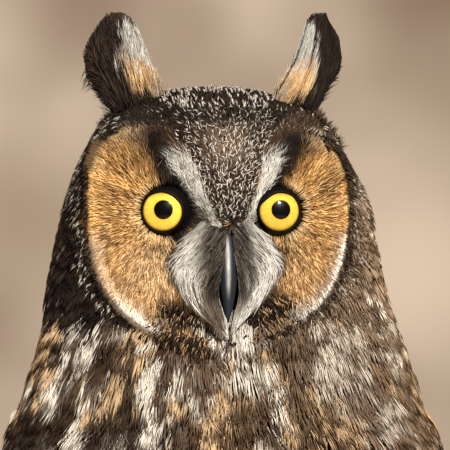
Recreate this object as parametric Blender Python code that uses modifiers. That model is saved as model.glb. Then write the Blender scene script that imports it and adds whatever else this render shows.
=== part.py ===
"""A long-eared owl, life size, perched upright on a short branch that a plain display stand holds.

Run with: blender --background --python part.py
The scene is in metres, +Z up. The owl looks along -Y with its head turned a little to its own left,
which is +X. The origin is the centre of the stand's underside. Sizes below are in millimetres.
"""

import math

import bmesh
import bpy
import numpy as np
from mathutils import Matrix, Vector

MM = 0.001
GAP = 0.3  # space between two pieces that touch
WELD = 0.000001  # in metres: points this close are one

# Stand and perch
BASE_RADIUS = 92.0
BASE_THICK = 12.0
ROD_RADIUS = 4.0
ROD_X = 56.0
PERCH_RADIUS = 12.5
PERCH_TOP = 92.0
PERCH_HALF = 82.0
PERCH_AXIS = PERCH_TOP - PERCH_RADIUS

# Heights of the owl above its perch
EYE_Z = PERCH_TOP + 218.0
HEAD_CUT_Z = EYE_Z - 42.0
NECK_CUT_Z = EYE_Z - 66.0
TAIL_CUT_Z = PERCH_TOP + 14.0
TAIL_TIP_Z = PERCH_TOP - 71.0

# Head: offset and turn of the whole head about the upright line through the neck
HEAD_SHIFT_X = -2.9
HEAD_TURN = math.radians(5.5)
TURN_FROM_Z = EYE_Z - 50.0
TURN_FULL_Z = EYE_Z - 22.0
SIDE_SHIFT = 1.3  # the loose feathers beside the face lie a little to the owl's left

# Facial disc, measured from the eye line
DISC_HALF_WIDTH = 38.5
DISC_UP = 29.5
DISC_DOWN = 35.0
DISC_CENTRE_Z = -3.0
DISC_TOP_POWER = 3.6
DISC_LOW_POWER = 2.3
DISC_FRONT = -35.5
RIM_HEIGHT = 2.2

# Eyes
EYE_X = 16.4
EYE_RADIUS = 9.0
EYE_DEPTH = -29.0
EYE_SPLAY = math.radians(10.0)
LID_RADIUS = 7.2
LID_THICK = 1.3

# Cross section of the body: 2 would be an ellipse, and more is squarer, as it is across the face
SECTION_POWER = 2.3
FACE_POWER = 4.0

# Rows of z, half width, depth in front, depth behind, and the y of the section's centre
UPPER_BODY = [
    (EYE_Z + 37.5, 0.8, 0.8, 0.8, 0.0),
    (EYE_Z + 36.4, 13.0, 14.0, 14.0, 0.0),
    (EYE_Z + 33.0, 23.5, 24.0, 24.0, 0.0),
    (EYE_Z + 27.5, 32.0, 31.0, 31.0, 0.0),
    (EYE_Z + 18.0, 37.5, 36.0, 36.0, 0.0),
    (EYE_Z + 3.0, 44.8, 36.5, 39.0, 0.0),
    (EYE_Z - 15.0, 49.3, 37.0, 40.5, 0.0),
    (EYE_Z - 33.0, 52.8, 38.0, 40.5, 0.0),
    (EYE_Z - 48.0, 56.8, 43.0, 42.5, 0.0),
    (EYE_Z - 63.0, 61.4, 49.0, 45.5, 0.0),
    (EYE_Z - 76.0, 66.0, 53.0, 48.0, 0.0),
    (EYE_Z - 95.0, 68.5, 55.0, 48.0, 0.0),
    (EYE_Z - 120.0, 66.5, 54.0, 47.0, 2.0),
    (EYE_Z - 145.0, 60.5, 49.0, 45.0, 5.0),
]
# The trunk narrows into the covert feathers round the root of the tail
TRUNK_END = [
    (EYE_Z - 167.0, 51.0, 39.0, 39.0, 9.0),
    (EYE_Z - 184.0, 41.0, 29.0, 31.0, 14.0),
    (EYE_Z - 198.0, 31.0, 17.0, 22.0, 20.0),
    (EYE_Z - 212.0, 24.0, 10.0, 14.0, 26.0),
    (EYE_Z - 226.0, 19.0, 6.5, 8.0, 30.0),
    (EYE_Z - 240.0, 14.0, 4.0, 4.5, 33.5),
    (EYE_Z - 246.0, 6.0, 2.0, 2.0, 35.0),
]
# The folded wings go on down past the trunk, round the tail
WING_END = [
    (EYE_Z - 167.0, 53.0, 40.0, 42.0, 8.0),
    (EYE_Z - 186.0, 45.0, 30.0, 38.0, 13.0),
    (EYE_Z - 206.0, 38.0, 24.0, 33.0, 18.0),
    (EYE_Z - 226.0, 33.5, 20.0, 27.0, 23.0),
    (EYE_Z - 248.0, 30.0, 16.0, 21.0, 29.0),
    (EYE_Z - 268.0, 27.0, 12.0, 16.0, 34.0),
    (EYE_Z - 290.0, 25.0, 10.0, 13.0, 39.0),
    (EYE_Z - 300.0, 24.0, 9.0, 12.0, 41.0),
]
TRUNK = np.array(UPPER_BODY + TRUNK_END)
WING_HULL = np.array(UPPER_BODY + WING_END)

# Colours, roughness and metallic value
FINISHES = {
    "plumage_dark": ((0.10, 0.075, 0.055), 0.9, 0.0),
    "plumage_disc": ((0.55, 0.31, 0.13), 0.9, 0.0),
    "plumage_breast": ((0.38, 0.28, 0.18), 0.9, 0.0),
    "plumage_wing": ((0.20, 0.145, 0.10), 0.85, 0.0),
    "plumage_tail": ((0.35, 0.25, 0.15), 0.85, 0.0),
    "plumage_leg": ((0.62, 0.45, 0.26), 0.9, 0.0),
    "eye_yellow": ((0.95, 0.68, 0.03), 0.1, 0.0),
    "horn_black": ((0.03, 0.032, 0.035), 0.35, 0.0),
    "bark": ((0.23, 0.17, 0.12), 0.9, 0.0),
    "stand_wood": ((0.30, 0.20, 0.13), 0.5, 0.0),
    "stand_steel": ((0.55, 0.55, 0.56), 0.3, 1.0),
}


# Scene, materials and small helpers
def clear_scene():
    for obj in list(bpy.data.objects):
        bpy.data.objects.remove(obj)
    for collection in list(bpy.data.collections):
        bpy.data.collections.remove(collection)


def make_collection(name, hidden=False):
    collection = bpy.data.collections.new(name)
    collection.hide_render = hidden
    bpy.context.scene.collection.children.link(collection)
    return collection


def finish_material(name):
    if name in bpy.data.materials:
        return bpy.data.materials[name]
    colour, roughness, metallic = FINISHES[name]
    material = bpy.data.materials.new(name)
    material.use_nodes = True
    shader = material.node_tree.nodes["Principled BSDF"]
    shader.inputs["Base Color"].default_value = (*colour, 1.0)
    shader.inputs["Roughness"].default_value = roughness
    shader.inputs["Metallic"].default_value = metallic
    return material


def own_material(obj, finish):
    """Gives the object a material of its own, copied from the named finish."""
    material = finish_material(finish).copy()
    material.name = f"{obj.name}_{finish}"
    obj.data.materials.clear()
    obj.data.materials.append(material)


def mesh_object(name, points, faces, collection):
    """A mesh object from points in millimetres, with its faces turned outwards."""
    mesh = bpy.data.meshes.new(name)
    mesh.from_pydata([Vector(p) * MM for p in points], [], faces)
    shape = bmesh.new()
    shape.from_mesh(mesh)
    bmesh.ops.recalc_face_normals(shape, faces=shape.faces)
    shape.to_mesh(mesh)
    shape.free()
    obj = bpy.data.objects.new(name, mesh)
    collection.objects.link(obj)
    return obj


def adopt(obj, name, collection):
    """Renames an object that an operator made and moves it into the collection."""
    obj.name = name
    for other in list(obj.users_collection):
        other.objects.unlink(obj)
    collection.objects.link(obj)
    return obj


def apply_place(obj):
    obj.data.transform(obj.matrix_basis)
    obj.matrix_basis = Matrix.Identity(4)


def cylinder(name, radius, low, high, x, y, sides, collection):
    bpy.ops.mesh.primitive_cylinder_add(
        vertices=sides,
        radius=radius * MM,
        depth=(high - low) * MM,
        location=(x * MM, y * MM, (low + high) / 2 * MM),
    )
    return adopt(bpy.context.object, name, collection)


def ball(name, centre, radii, collection, segments=16, rings=10):
    """An ellipsoid whose three radii lie along the axes."""
    bpy.ops.mesh.primitive_uv_sphere_add(segments=segments, ring_count=rings, radius=1.0)
    obj = adopt(bpy.context.object, name, collection)
    obj.scale = Vector(radii) * MM
    obj.location = Vector(centre) * MM
    bpy.context.view_layer.update()
    apply_place(obj)
    return obj


def tube(name, points, radii, collection, resolution=2):
    """A round tube through the points, as a mesh, whose radius changes from point to point."""
    curve = bpy.data.curves.new(name, "CURVE")
    curve.dimensions = "3D"
    curve.bevel_depth = MM
    curve.bevel_resolution = resolution
    curve.use_fill_caps = True
    spline = curve.splines.new("POLY")
    spline.points.add(len(points) - 1)
    for place, point, radius in zip(spline.points, points, radii):
        place.co = (*(Vector(point) * MM), 1.0)
        place.radius = radius
    guide = bpy.data.objects.new(name + "_guide", curve)
    collection.objects.link(guide)
    graph = bpy.context.evaluated_depsgraph_get()
    graph.update()
    mesh = bpy.data.meshes.new_from_object(guide.evaluated_get(graph))
    bpy.data.objects.remove(guide)
    shape = bmesh.new()
    shape.from_mesh(mesh)
    bmesh.ops.remove_doubles(shape, verts=shape.verts, dist=0.00001)
    bmesh.ops.recalc_face_normals(shape, faces=shape.faces)
    shape.to_mesh(mesh)
    shape.free()
    obj = bpy.data.objects.new(name, mesh)
    collection.objects.link(obj)
    return obj


def loft(name, rings, collection):
    """Closed skin over rings of equally many points, each end closed by one face.

    Every quad is split the same way, so that a bed and the piece in it stay the same way apart.
    """
    count = len(rings[0])
    points = [p for ring in rings for p in ring]
    faces = []
    for i in range(len(rings) - 1):
        for j in range(count):
            k = (j + 1) % count
            here, beside = i * count + j, i * count + k
            faces.append((here, beside, beside + count))
            faces.append((here, beside + count, here + count))
    faces.append(tuple(range(count)))
    faces.append(tuple((len(rings) - 1) * count + j for j in range(count)))
    return mesh_object(name, points, faces, collection)


def blade(name, stations, collection):
    """A thin vane. Each station is (centre, side, normal, half width, half thickness).

    The quads are split into triangles alike on both faces, so that the faces of a curved vane
    never cross.
    """
    points = []
    for centre, side, normal, half, thin in stations:
        points.append(centre - side * half + normal * thin)
        points.append(centre + side * half + normal * thin)
        points.append(centre + side * half - normal * thin)
        points.append(centre - side * half - normal * thin)
    faces = [(0, 3, 2), (0, 2, 1)]
    for i in range(len(stations) - 1):
        lt, rt, rb, lb = (4 * i + k for k in range(4))
        lt2, rt2, rb2, lb2 = (4 * i + 4 + k for k in range(4))
        faces += [(lt, rt, rt2), (lt, rt2, lt2), (lb, rb2, rb), (lb, lb2, rb2)]
        faces += [(rt, rb, rb2), (rt, rb2, rt2), (lt, lb2, lb), (lt, lt2, lb2)]
    last = 4 * (len(stations) - 1)
    faces += [(last, last + 1, last + 2), (last, last + 2, last + 3)]
    return mesh_object(name, points, faces, collection)


def welded(mesh):
    """Joins points that nearly meet, and tells whether each edge then joins exactly two faces."""
    shape = bmesh.new()
    shape.from_mesh(mesh)
    bmesh.ops.remove_doubles(shape, verts=shape.verts, dist=WELD)
    closed = bool(shape.faces) and all(len(edge.link_faces) == 2 for edge in shape.edges)
    if closed:
        shape.to_mesh(mesh)
    shape.free()
    return closed


def run_boolean(obj, operation, collection):
    """Joins or cuts the object with every mesh of the collection, which is then emptied.

    EXACT is tried first, and MANIFOLD is used where EXACT leaves the mesh open.
    """
    modifier = obj.modifiers.new(operation.lower(), "BOOLEAN")
    modifier.operation = operation
    modifier.operand_type = "COLLECTION"
    modifier.collection = collection
    for solver in ("EXACT", "MANIFOLD"):
        modifier.solver = solver
        graph = bpy.context.evaluated_depsgraph_get()
        graph.update()
        mesh = bpy.data.meshes.new_from_object(obj.evaluated_get(graph))
        if welded(mesh):
            break
    else:
        print(obj.name, operation, "left points that can't be welded")
    obj.modifiers.remove(modifier)
    obj.data = mesh
    for other in list(collection.objects):
        bpy.data.objects.remove(other)
    bpy.data.collections.remove(collection)
    keep_largest(obj)
    print(obj.name, operation, solver, sum(len(p.vertices) - 2 for p in mesh.polygons), "triangles")


def keep_largest(obj):
    """Keeps only the largest closed surface of the object's mesh."""
    shape = bmesh.new()
    shape.from_mesh(obj.data)
    seen = set()
    islands = []
    for start in shape.verts:
        if start in seen:
            continue
        seen.add(start)
        island = [start]
        for vert in island:
            for edge in vert.link_edges:
                other = edge.other_vert(vert)
                if other not in seen:
                    seen.add(other)
                    island.append(other)
        islands.append(island)
    islands.sort(key=len)
    loose = [vert for island in islands[:-1] for vert in island]
    bmesh.ops.delete(shape, geom=loose, context="VERTS")
    shape.to_mesh(obj.data)
    shape.free()


# The outer form of the owl
def smooth_step(value, low, high):
    t = min(1.0, max(0.0, (value - low) / (high - low)))
    return t * t * (3.0 - 2.0 * t)


def table_row(table, level):
    """The table's values at a fractional row number, on a smooth curve through its rows."""
    level = min(max(level, 0.0), len(table) - 1.0)
    i = min(int(level), len(table) - 2)
    f = level - i
    p0, p1 = table[max(i - 1, 0)], table[i]
    p2, p3 = table[i + 1], table[min(i + 2, len(table) - 1)]
    slope1, slope2 = (p2 - p0) / 2, (p3 - p1) / 2
    f2, f3 = f * f, f * f * f
    return (
        (2 * f3 - 3 * f2 + 1) * p1
        + (f3 - 2 * f2 + f) * slope1
        + (3 * f2 - 2 * f3) * p2
        + (f3 - f2) * slope2
    )


def level_of(table, z):
    """The fractional row number whose section lies at height z."""
    levels = np.linspace(0.0, len(table) - 1.0, 400)
    heights = np.array([table_row(table, t)[0] for t in levels])
    return float(np.interp(-z, -heights, levels))


def signed_power(value, power):
    return math.copysign(abs(value) ** power, value)


def turn_head(point):
    """Turns and shifts a point as the head is turned, fading out down the neck."""
    share = smooth_step(point.z, TURN_FROM_Z, TURN_FULL_Z)
    turned = Matrix.Rotation(HEAD_TURN * share, 3, "Z") @ point
    turned.x += HEAD_SHIFT_X * share
    return turned


def disc_half(upper):
    """Height and roundness of the disc's upper or lower half."""
    return (DISC_UP, DISC_TOP_POWER) if upper else (DISC_DOWN, DISC_LOW_POWER)


def disc_edge(x, up):
    """Distance outside (+) or inside (-) the facial disc's outline, for a place on the face."""
    half, power = disc_half(up > DISC_CENTRE_Z)
    reach = (abs(x / DISC_HALF_WIDTH) ** power + abs((up - DISC_CENTRE_Z) / half) ** power)
    reach = reach ** (1.0 / power)
    return (reach - 1.0) * (DISC_HALF_WIDTH + half) / 2


def face_front(x, up):
    """How far forward the face lies at a place x sideways and up from the eye line."""
    side = abs(x)
    y = DISC_FRONT + 0.015 * max(side - EYE_X, 0.0) ** 2
    y += (0.008 if up > 0 else 0.0015) * up * up
    # The wedge of the forehead between the brows, and the mound of bristles round the bill
    brow = 7.0 * math.exp(-((side / (8.0 + 0.25 * max(up, 0.0))) ** 2)) * smooth_step(up, -14.0, -2.0)
    mound = 8.5 * math.exp(-((side / 9.5) ** 2)) * smooth_step(up, -38.0, -22.0)
    mound *= 1.0 - smooth_step(up, -8.0, 0.0)
    # A hollow on the inner side of each eye
    hollow = 3.0 * math.exp(-(((side - EYE_X + 4.0) / 6.0) ** 2) - ((up + 1.0) / 9.0) ** 2)
    return y - brow - mound + hollow


def form_point(table, angle, level, lift=0.0):
    """A point of the body's surface. angle runs from 0 at the front, through 90 at +X, to 180."""
    z, half, front, back, centre = table_row(table, level)
    up = z - EYE_Z
    sine, cosine = math.sin(math.radians(angle)), math.cos(math.radians(angle))
    power = SECTION_POWER
    if cosine > 0:
        power += (FACE_POWER - SECTION_POWER) * smooth_step(up, -18.0, 20.0) * (1.0 - smooth_step(up, 20.0, 33.0))
    power = 2.0 / power
    x = half * signed_power(sine, power)
    depth = front if cosine > 0 else back
    y = centre - depth * signed_power(cosine, power)
    beside = smooth_step(up, -52.0, -30.0) * (1.0 - smooth_step(up, 2.0, 16.0))
    x += SIDE_SHIFT * beside * abs(sine) ** 6
    if cosine > 0 and up > -45.0:
        edge = disc_edge(x, up)
        inside = 1.0 - smooth_step(edge, -1.5, 1.5)
        y = y * (1.0 - inside) + face_front(x, up) * inside
        y -= RIM_HEIGHT * math.exp(-((edge / 2.2) ** 2))
    if lift:
        normal = form_normal(table, angle, level)
        return turn_head(Vector((x, y, z))) + normal * lift
    return turn_head(Vector((x, y, z)))


def form_normal(table, angle, level):
    across = form_point(table, angle + 1.0, level) - form_point(table, angle - 1.0, level)
    down = form_point(table, angle, level + 0.05) - form_point(table, angle, level - 0.05)
    return across.cross(-down).normalized()


def head_place(x, y, up):
    """A place on the turned head from sideways, forward (-y) and up from the eye line."""
    turned = Matrix.Rotation(HEAD_TURN, 3, "Z") @ Vector((x, y, 0.0))
    return Vector((turned.x + HEAD_SHIFT_X, turned.y, EYE_Z + up))


def trunk_piece(name, top, bottom, rings, sides, collection):
    """The part of the body between two heights, with flat ends."""
    start, end = level_of(TRUNK, top), level_of(TRUNK, bottom)
    made = []
    for i in range(rings + 1):
        level = start + (end - start) * i / rings
        ring = [form_point(TRUNK, 360.0 * j / sides, level) for j in range(sides)]
        for point in ring:
            if i == 0 and start > 0.0:
                point.z = top
            if i == rings:
                point.z = bottom
        made.append(ring)
    return loft(name, made, collection)


# Head
def face_frame(x, up, outward, lift):
    """Point, tangent and normal on the face for a lock that runs along the direction outward."""
    step = 0.5
    here = head_place(x, face_front(x, up) - lift, up)
    there_x, there_up = x + outward[0] * step, up + outward[1] * step
    there = head_place(there_x, face_front(there_x, there_up) - lift, there_up)
    tangent = (there - here).normalized()
    forward = head_place(0.0, -1.0, 0.0) - head_place(0.0, 0.0, 0.0)
    side = tangent.cross(forward).normalized()
    return here, side, side.cross(tangent).normalized()


RUFF_COUNT = 25
RUFF_LENGTH = 9.0
RUFF_HALF_WIDTH = 5.0


def ruff_vanes(collection):
    """Short stiff vanes side by side round the rim of the facial disc."""
    for i in range(RUFF_COUNT):
        turn = 2.0 * math.pi * (i + 0.5) / RUFF_COUNT
        half, power = disc_half(math.sin(turn) > 0)
        reach = (abs(math.cos(turn)) ** power + abs(math.sin(turn)) ** power) ** (-1.0 / power)
        edge_x = DISC_HALF_WIDTH * reach * math.cos(turn)
        edge_up = DISC_CENTRE_Z + half * reach * math.sin(turn)
        out = Vector((edge_x, edge_up - DISC_CENTRE_Z)).normalized()
        stations = []
        for share, width, drop in ((-0.6, 0.75, 1.2), (-0.1, 1.0, -1.5), (0.18, 0.5, 1.0)):
            x = edge_x + out.x * share * RUFF_LENGTH
            up = edge_up + out.y * share * RUFF_LENGTH
            y = face_front(edge_x, edge_up) + drop - 0.5
            centre = head_place(x, y, up)
            side = (head_place(x - out.y, y, up + out.x) - centre).normalized()
            along = (head_place(x + out.x, y + 0.6, up + out.y) - centre).normalized()
            normal = along.cross(side).normalized()
            stations.append((centre, side, normal, RUFF_HALF_WIDTH * width, 0.45))
        blade(f"ruff_{i}", stations, collection)


BRISTLE_COUNT = 5


def bristle_locks(collection):
    """Flat locks that fan from the sides of the bill over the inner face."""
    for hand in (-1.0, 1.0):
        for i in range(BRISTLE_COUNT):
            share = i / (BRISTLE_COUNT - 1)
            turn = math.radians(-88.0 + 62.0 * share)
            out = Vector((math.cos(turn) * hand, math.sin(turn)))
            root = Vector((4.2 * hand, -20.0 + 11.0 * share))
            length = 13.0 + 3.0 * math.sin(math.pi * share)
            stations = []
            for along, width, lift in ((0.0, 0.7, -0.4), (0.4, 1.0, 0.9), (0.75, 0.8, 1.0), (1.0, 0.2, 0.5)):
                bent = Vector((out.x, out.y - 0.5 * along)).normalized()
                place = root + bent * length * along
                centre, side, normal = face_frame(place.x, place.y, bent, lift)
                stations.append((centre, side, normal, 1.7 * width, 0.4))
            blade(f"bristle_{hand}_{i}", stations, collection)


def eye_axis(hand):
    """The way an eye looks, as a unit vector in the scene."""
    turn = hand * EYE_SPLAY
    return Vector((math.sin(turn), -math.cos(turn), 0.0))


def eye_centre(hand):
    return head_place(hand * EYE_X, EYE_DEPTH, 0.0)


def lid_ring(hand, collection):
    centre = eye_centre(hand)
    axis = eye_axis(hand)
    bpy.ops.mesh.primitive_torus_add(
        major_radius=LID_RADIUS * MM,
        minor_radius=LID_THICK * MM,
        major_segments=20,
        minor_segments=6,
    )
    obj = adopt(bpy.context.object, f"lid_{hand}", collection)
    obj.rotation_mode = "QUATERNION"
    obj.rotation_quaternion = axis.to_track_quat("Z", "Y")
    obj.location = (centre + axis * 6.0) * MM
    bpy.context.view_layer.update()
    apply_place(obj)


# Bill: side profile in the head's own plane as (forward y, up, half width, half height, tilt)
UPPER_BILL = [
    (-36.0, -11.0, 4.0, 5.0, 5.0),
    (-43.5, -11.0, 3.8, 5.2, 12.0),
    (-48.0, -13.5, 3.3, 4.8, 38.0),
    (-50.6, -18.0, 2.9, 4.1, 66.0),
    (-51.6, -23.0, 2.4, 3.2, 86.0),
    (-51.3, -28.0, 1.6, 2.0, 98.0),
    (-50.6, -33.4, 0.35, 0.4, 104.0),
]
LOWER_BILL = [
    (-35.0, -20.0, 2.9, 1.7, 12.0),
    (-41.0, -21.6, 2.7, 1.7, 20.0),
    (-45.0, -24.2, 2.0, 1.5, 40.0),
    (-46.8, -26.8, 0.9, 0.8, 52.0),
]
BILL_SIDES = 12


def bill_rings(rows, grow):
    """Oval rings along the bill. tilt is how far the ring's own way is turned down from forward."""
    rings = []
    for forward, up, half_width, half_height, tilt in rows:
        a = math.radians(tilt)
        rise = Vector((0.0, -math.sin(a), math.cos(a)))
        ring = []
        for j in range(BILL_SIDES):
            t = 2.0 * math.pi * j / BILL_SIDES
            x = (half_width + grow) * math.sin(t)
            r = (half_height + grow) * math.cos(t)
            ring.append(head_place(x, forward + rise.y * r, up + rise.z * r))
        rings.append(ring)
    return rings


NOSTRIL_RADIUS = 0.9


def make_bills(owl):
    upper = loft("bill_upper", bill_rings(UPPER_BILL, 0.0), owl)
    cutters = make_collection("nostrils", hidden=True)
    for hand in (-1.0, 1.0):
        centre = head_place(hand * 4.6, -46.0, -11.2)
        ball(f"nostril_{hand}", centre, (NOSTRIL_RADIUS,) * 3, cutters, 8, 6)
    run_boolean(upper, "DIFFERENCE", cutters)
    own_material(upper, "horn_black")
    lower = loft("bill_lower", bill_rings(LOWER_BILL, 0.0), owl)
    cutters = make_collection("bill_seam", hidden=True)
    loft("upper_cutter", bill_rings(UPPER_BILL, GAP), cutters)
    run_boolean(lower, "DIFFERENCE", cutters)
    own_material(lower, "horn_black")


# Ear tufts. Places are sideways, forward and up on the head. spread is the half width of the fan
TUFTS = {
    "ear_tuft_right": {
        "root": (-24.0, -9.0, 30.3),
        "bulge": (-30.2, -8.0, 46.0),
        "tip": (-30.5, -5.0, 60.3),
        "across": (0.94, -0.20, 0.28),
        "root_spread": 7.7,
        "tip_spread": 10.0,
    },
    "ear_tuft_left": {
        "root": (24.0, -9.0, 30.0),
        "bulge": (32.6, -8.0, 46.0),
        "tip": (32.8, -5.0, 60.5),
        "across": (0.80, 0.55, -0.20),
        "root_spread": 8.0,
        "tip_spread": 8.0,
    },
}
TUFT_VANES = 7
TUFT_PLUG = (12.0, 5.5, 5.5)
TUFT_HALF_WIDTH = 3.6


def tuft_plug(name, size, grow, collection):
    """The oval root of a tuft, longest along its row of vanes."""
    plug = ball(name, (0.0, 0.0, 0.0), [r + grow for r in TUFT_PLUG], collection, 12, 8)
    root, bulge = Vector(size["root"]), Vector(size["bulge"])
    across = Vector(size["across"]).normalized()
    normal = (bulge - root).cross(across).normalized()
    turn = Matrix((across, normal, across.cross(normal))).transposed()
    place = Matrix.Rotation(HEAD_TURN, 3, "Z") @ turn
    plug.data.transform(Matrix.Translation(head_place(*root) * MM) @ place.to_4x4())
    return plug


def make_tuft(name, owl):
    """Long vanes fanned side by side from one root, the middle ones longest."""
    size = TUFTS[name]
    root, bulge, tip = (Vector(size[k]) for k in ("root", "bulge", "tip"))
    across = Vector(size["across"]).normalized()
    plug = tuft_plug(name, size, 0.0, owl)
    vanes = make_collection(name + "_vanes", hidden=True)
    for i in range(TUFT_VANES):
        share = 2.0 * i / (TUFT_VANES - 1) - 1.0
        start = root + across * share * size["root_spread"]
        middle = bulge + across * share * size["root_spread"]
        end = tip + across * share * size["tip_spread"]
        end.z -= 13.0 * abs(share) ** 1.7
        layer = 0.45 * (i % 2) + 0.13 * i
        stations = []
        for t, width in ((0.0, 0.7), (0.4, 1.0), (0.8, 0.8), (1.0, 0.15)):
            local = start * (1 - t) ** 2 + middle * 2 * t * (1 - t) + end * t * t
            slope = ((middle - start) * (1 - t) + (end - middle) * t).normalized()
            normal = slope.cross(across).normalized()
            side = normal.cross(slope).normalized()
            centre = head_place(*(local + normal * layer))
            to_scene = Matrix.Rotation(HEAD_TURN, 3, "Z")
            stations.append((centre, to_scene @ side, to_scene @ normal, TUFT_HALF_WIDTH * width, 0.4))
        blade(f"{name}_vane_{i}", stations, vanes)
    run_boolean(plug, "UNION", vanes)
    own_material(plug, "plumage_dark")


def make_head(owl):
    head = trunk_piece("head", EYE_Z + 37.5, HEAD_CUT_Z, 18, 30, owl)
    added = make_collection("head_added", hidden=True)
    ruff_vanes(added)
    bristle_locks(added)
    for hand in (-1.0, 1.0):
        lid_ring(hand, added)
    run_boolean(head, "UNION", added)
    cutters = make_collection("head_cutters", hidden=True)
    for hand in (-1.0, 1.0):
        ball(f"socket_{hand}", eye_centre(hand), (EYE_RADIUS + GAP,) * 3, cutters, 16, 10)
    loft("bill_socket", bill_rings(UPPER_BILL, GAP), cutters)
    loft("jaw_socket", bill_rings(LOWER_BILL, GAP), cutters)
    for name, size in TUFTS.items():
        tuft_plug(name + "_socket", size, GAP, cutters)
    bpy.ops.mesh.primitive_cube_add(size=0.3, location=(0.0, 0.0, (HEAD_CUT_Z + GAP / 2) * MM - 0.15))
    adopt(bpy.context.object, "below_head", cutters)
    run_boolean(head, "DIFFERENCE", cutters)
    own_material(head, "plumage_disc")


def make_eyes(owl):
    for side, hand in (("right", -1.0), ("left", 1.0)):
        eye = ball(f"eye_{side}", eye_centre(hand), (EYE_RADIUS,) * 3, owl, 14, 8)
        own_material(eye, "eye_yellow")


# Wings
WING_TOP_Z = EYE_Z - 54.0
WING_CORE_END_Z = EYE_Z - 205.0
WING_CORE_DEPTH = 5.5


def wing_edges(z):
    """Front and back edge of the folded wing's core as angles round the body."""
    down = (WING_TOP_Z - z) / (WING_TOP_Z - WING_CORE_END_Z)
    opening = smooth_step(down, -0.02, 0.2)
    front = 94.0 - opening * 20.0 + 16.0 * smooth_step(down, 0.5, 1.0)
    back = 108.0 + opening * 61.0 - 6.0 * smooth_step(down, 0.7, 1.0)
    return front, back


def wing_core(name, hand, grow, collection):
    """The wing's body: lens sections laid on the hull, sunk into the trunk.

    With grow it is the bed to be cut for it, which is also higher, so no flap is left over it.
    """
    rings = []
    steps, across = 11, 6
    for i in range(steps + 1):
        z = WING_TOP_Z + grow - (WING_TOP_Z - WING_CORE_END_Z + 2 * grow) * i / steps
        level = level_of(WING_HULL, z)
        front, back = wing_edges(z)
        half = table_row(WING_HULL, level)[1]
        widen = math.degrees(2.4 * grow / half)
        thick = WING_CORE_DEPTH * (0.25 + 0.75 * math.sin(math.pi * min(1.0, 0.06 + 0.9 * i / steps)))
        outer, inner = [], []
        for j in range(across + 1):
            share = j / across
            angle = (front - widen) + (back - front + 2 * widen) * share
            bow = math.sqrt(max(0.0, 1.0 - (2 * share - 1) ** 2))
            top = -0.2 + 0.8 * bow + (3.0 if grow else 0.0)
            outer.append(form_point(WING_HULL, hand * angle, level, top))
            inner.append(form_point(WING_HULL, hand * angle, level, -0.8 - thick * bow - 1.3 * grow))
        rings.append(outer + inner[::-1])
    return loft(name, rings, collection)


# Tiers of wing feathers, top tier last in the list and lying on the others. Each is
# (name, count, root z below the eye, front angle, back angle, length at front, length at back,
#  half width, angle that the tip drifts back, lift of the root, lift of the tip)
WING_TIERS = [
    ("primary", 5, 150.0, 90.0, 110.0, 108.0, 134.0, 7.6, 42.0, -2.0, 0.2),
    ("secondary", 5, 142.0, 106.0, 144.0, 72.0, 84.0, 8.6, 12.0, -1.4, 1.2),
    ("greater_covert", 5, 122.0, 90.0, 138.0, 40.0, 44.0, 8.0, 6.0, -0.4, 2.0),
    ("median_covert", 4, 100.0, 88.0, 130.0, 30.0, 32.0, 8.4, 4.0, -0.4, 2.3),
    ("lesser_covert", 3, 82.0, 90.0, 114.0, 26.0, 26.0, 8.4, 3.0, -0.4, 2.2),
    ("tertial", 2, 118.0, 153.0, 163.0, 74.0, 66.0, 7.8, 2.0, -0.6, 2.4),
    ("scapular", 3, 76.0, 126.0, 154.0, 36.0, 36.0, 9.0, 2.0, -0.4, 3.0),
]
LONG_VANE = ((0.0, 0.65), (0.4, 1.0), (0.8, 0.95), (1.0, 0.3))
SHORT_VANE = ((0.0, 0.7), (0.65, 1.0), (1.0, 0.4))


def laid_vane(name, angle, drift, top_z, length, half_width, low_lift, high_lift, collection):
    """A vane laid on the wing hull from its root at top_z down to its tip."""
    stations = []
    for t, width in LONG_VANE if length > 60.0 else SHORT_VANE:
        here = angle + drift * t ** 1.3
        z = top_z - length * t
        level = level_of(WING_HULL, z)
        lift = low_lift + (high_lift - low_lift) * t ** 0.6
        centre = form_point(WING_HULL, here, level, lift)
        ahead = form_point(WING_HULL, here + drift * 0.04, level_of(WING_HULL, z - length * 0.03), lift)
        normal = form_normal(WING_HULL, here, level)
        side = normal.cross((ahead - centre).normalized()).normalized()
        stations.append((centre, side, normal, half_width * width, 0.45))
    blade(name, stations, collection)


def make_wing(side, hand, owl):
    wing = wing_core(f"wing_{side}", hand, 0.0, owl)
    vanes = make_collection(f"wing_{side}_vanes", hidden=True)
    for tier, count, down, front, back, length_f, length_b, half, drift, low, high in WING_TIERS:
        for i in range(count):
            share = i / (count - 1)
            angle = front + (back - front) * share
            length = length_f + (length_b - length_f) * share
            layer = 0.35 * (i % 2)
            laid_vane(
                f"{tier}_{i}",
                hand * angle,
                hand * drift,
                EYE_Z - down,
                length,
                half,
                low,
                high + layer,
                vanes,
            )
    run_boolean(wing, "UNION", vanes)
    own_material(wing, "plumage_wing")


# Tail
TAIL_FEATHERS = 12
TAIL_HALF_WIDTH = 6.4
TAIL_FAN = 12.0


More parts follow.
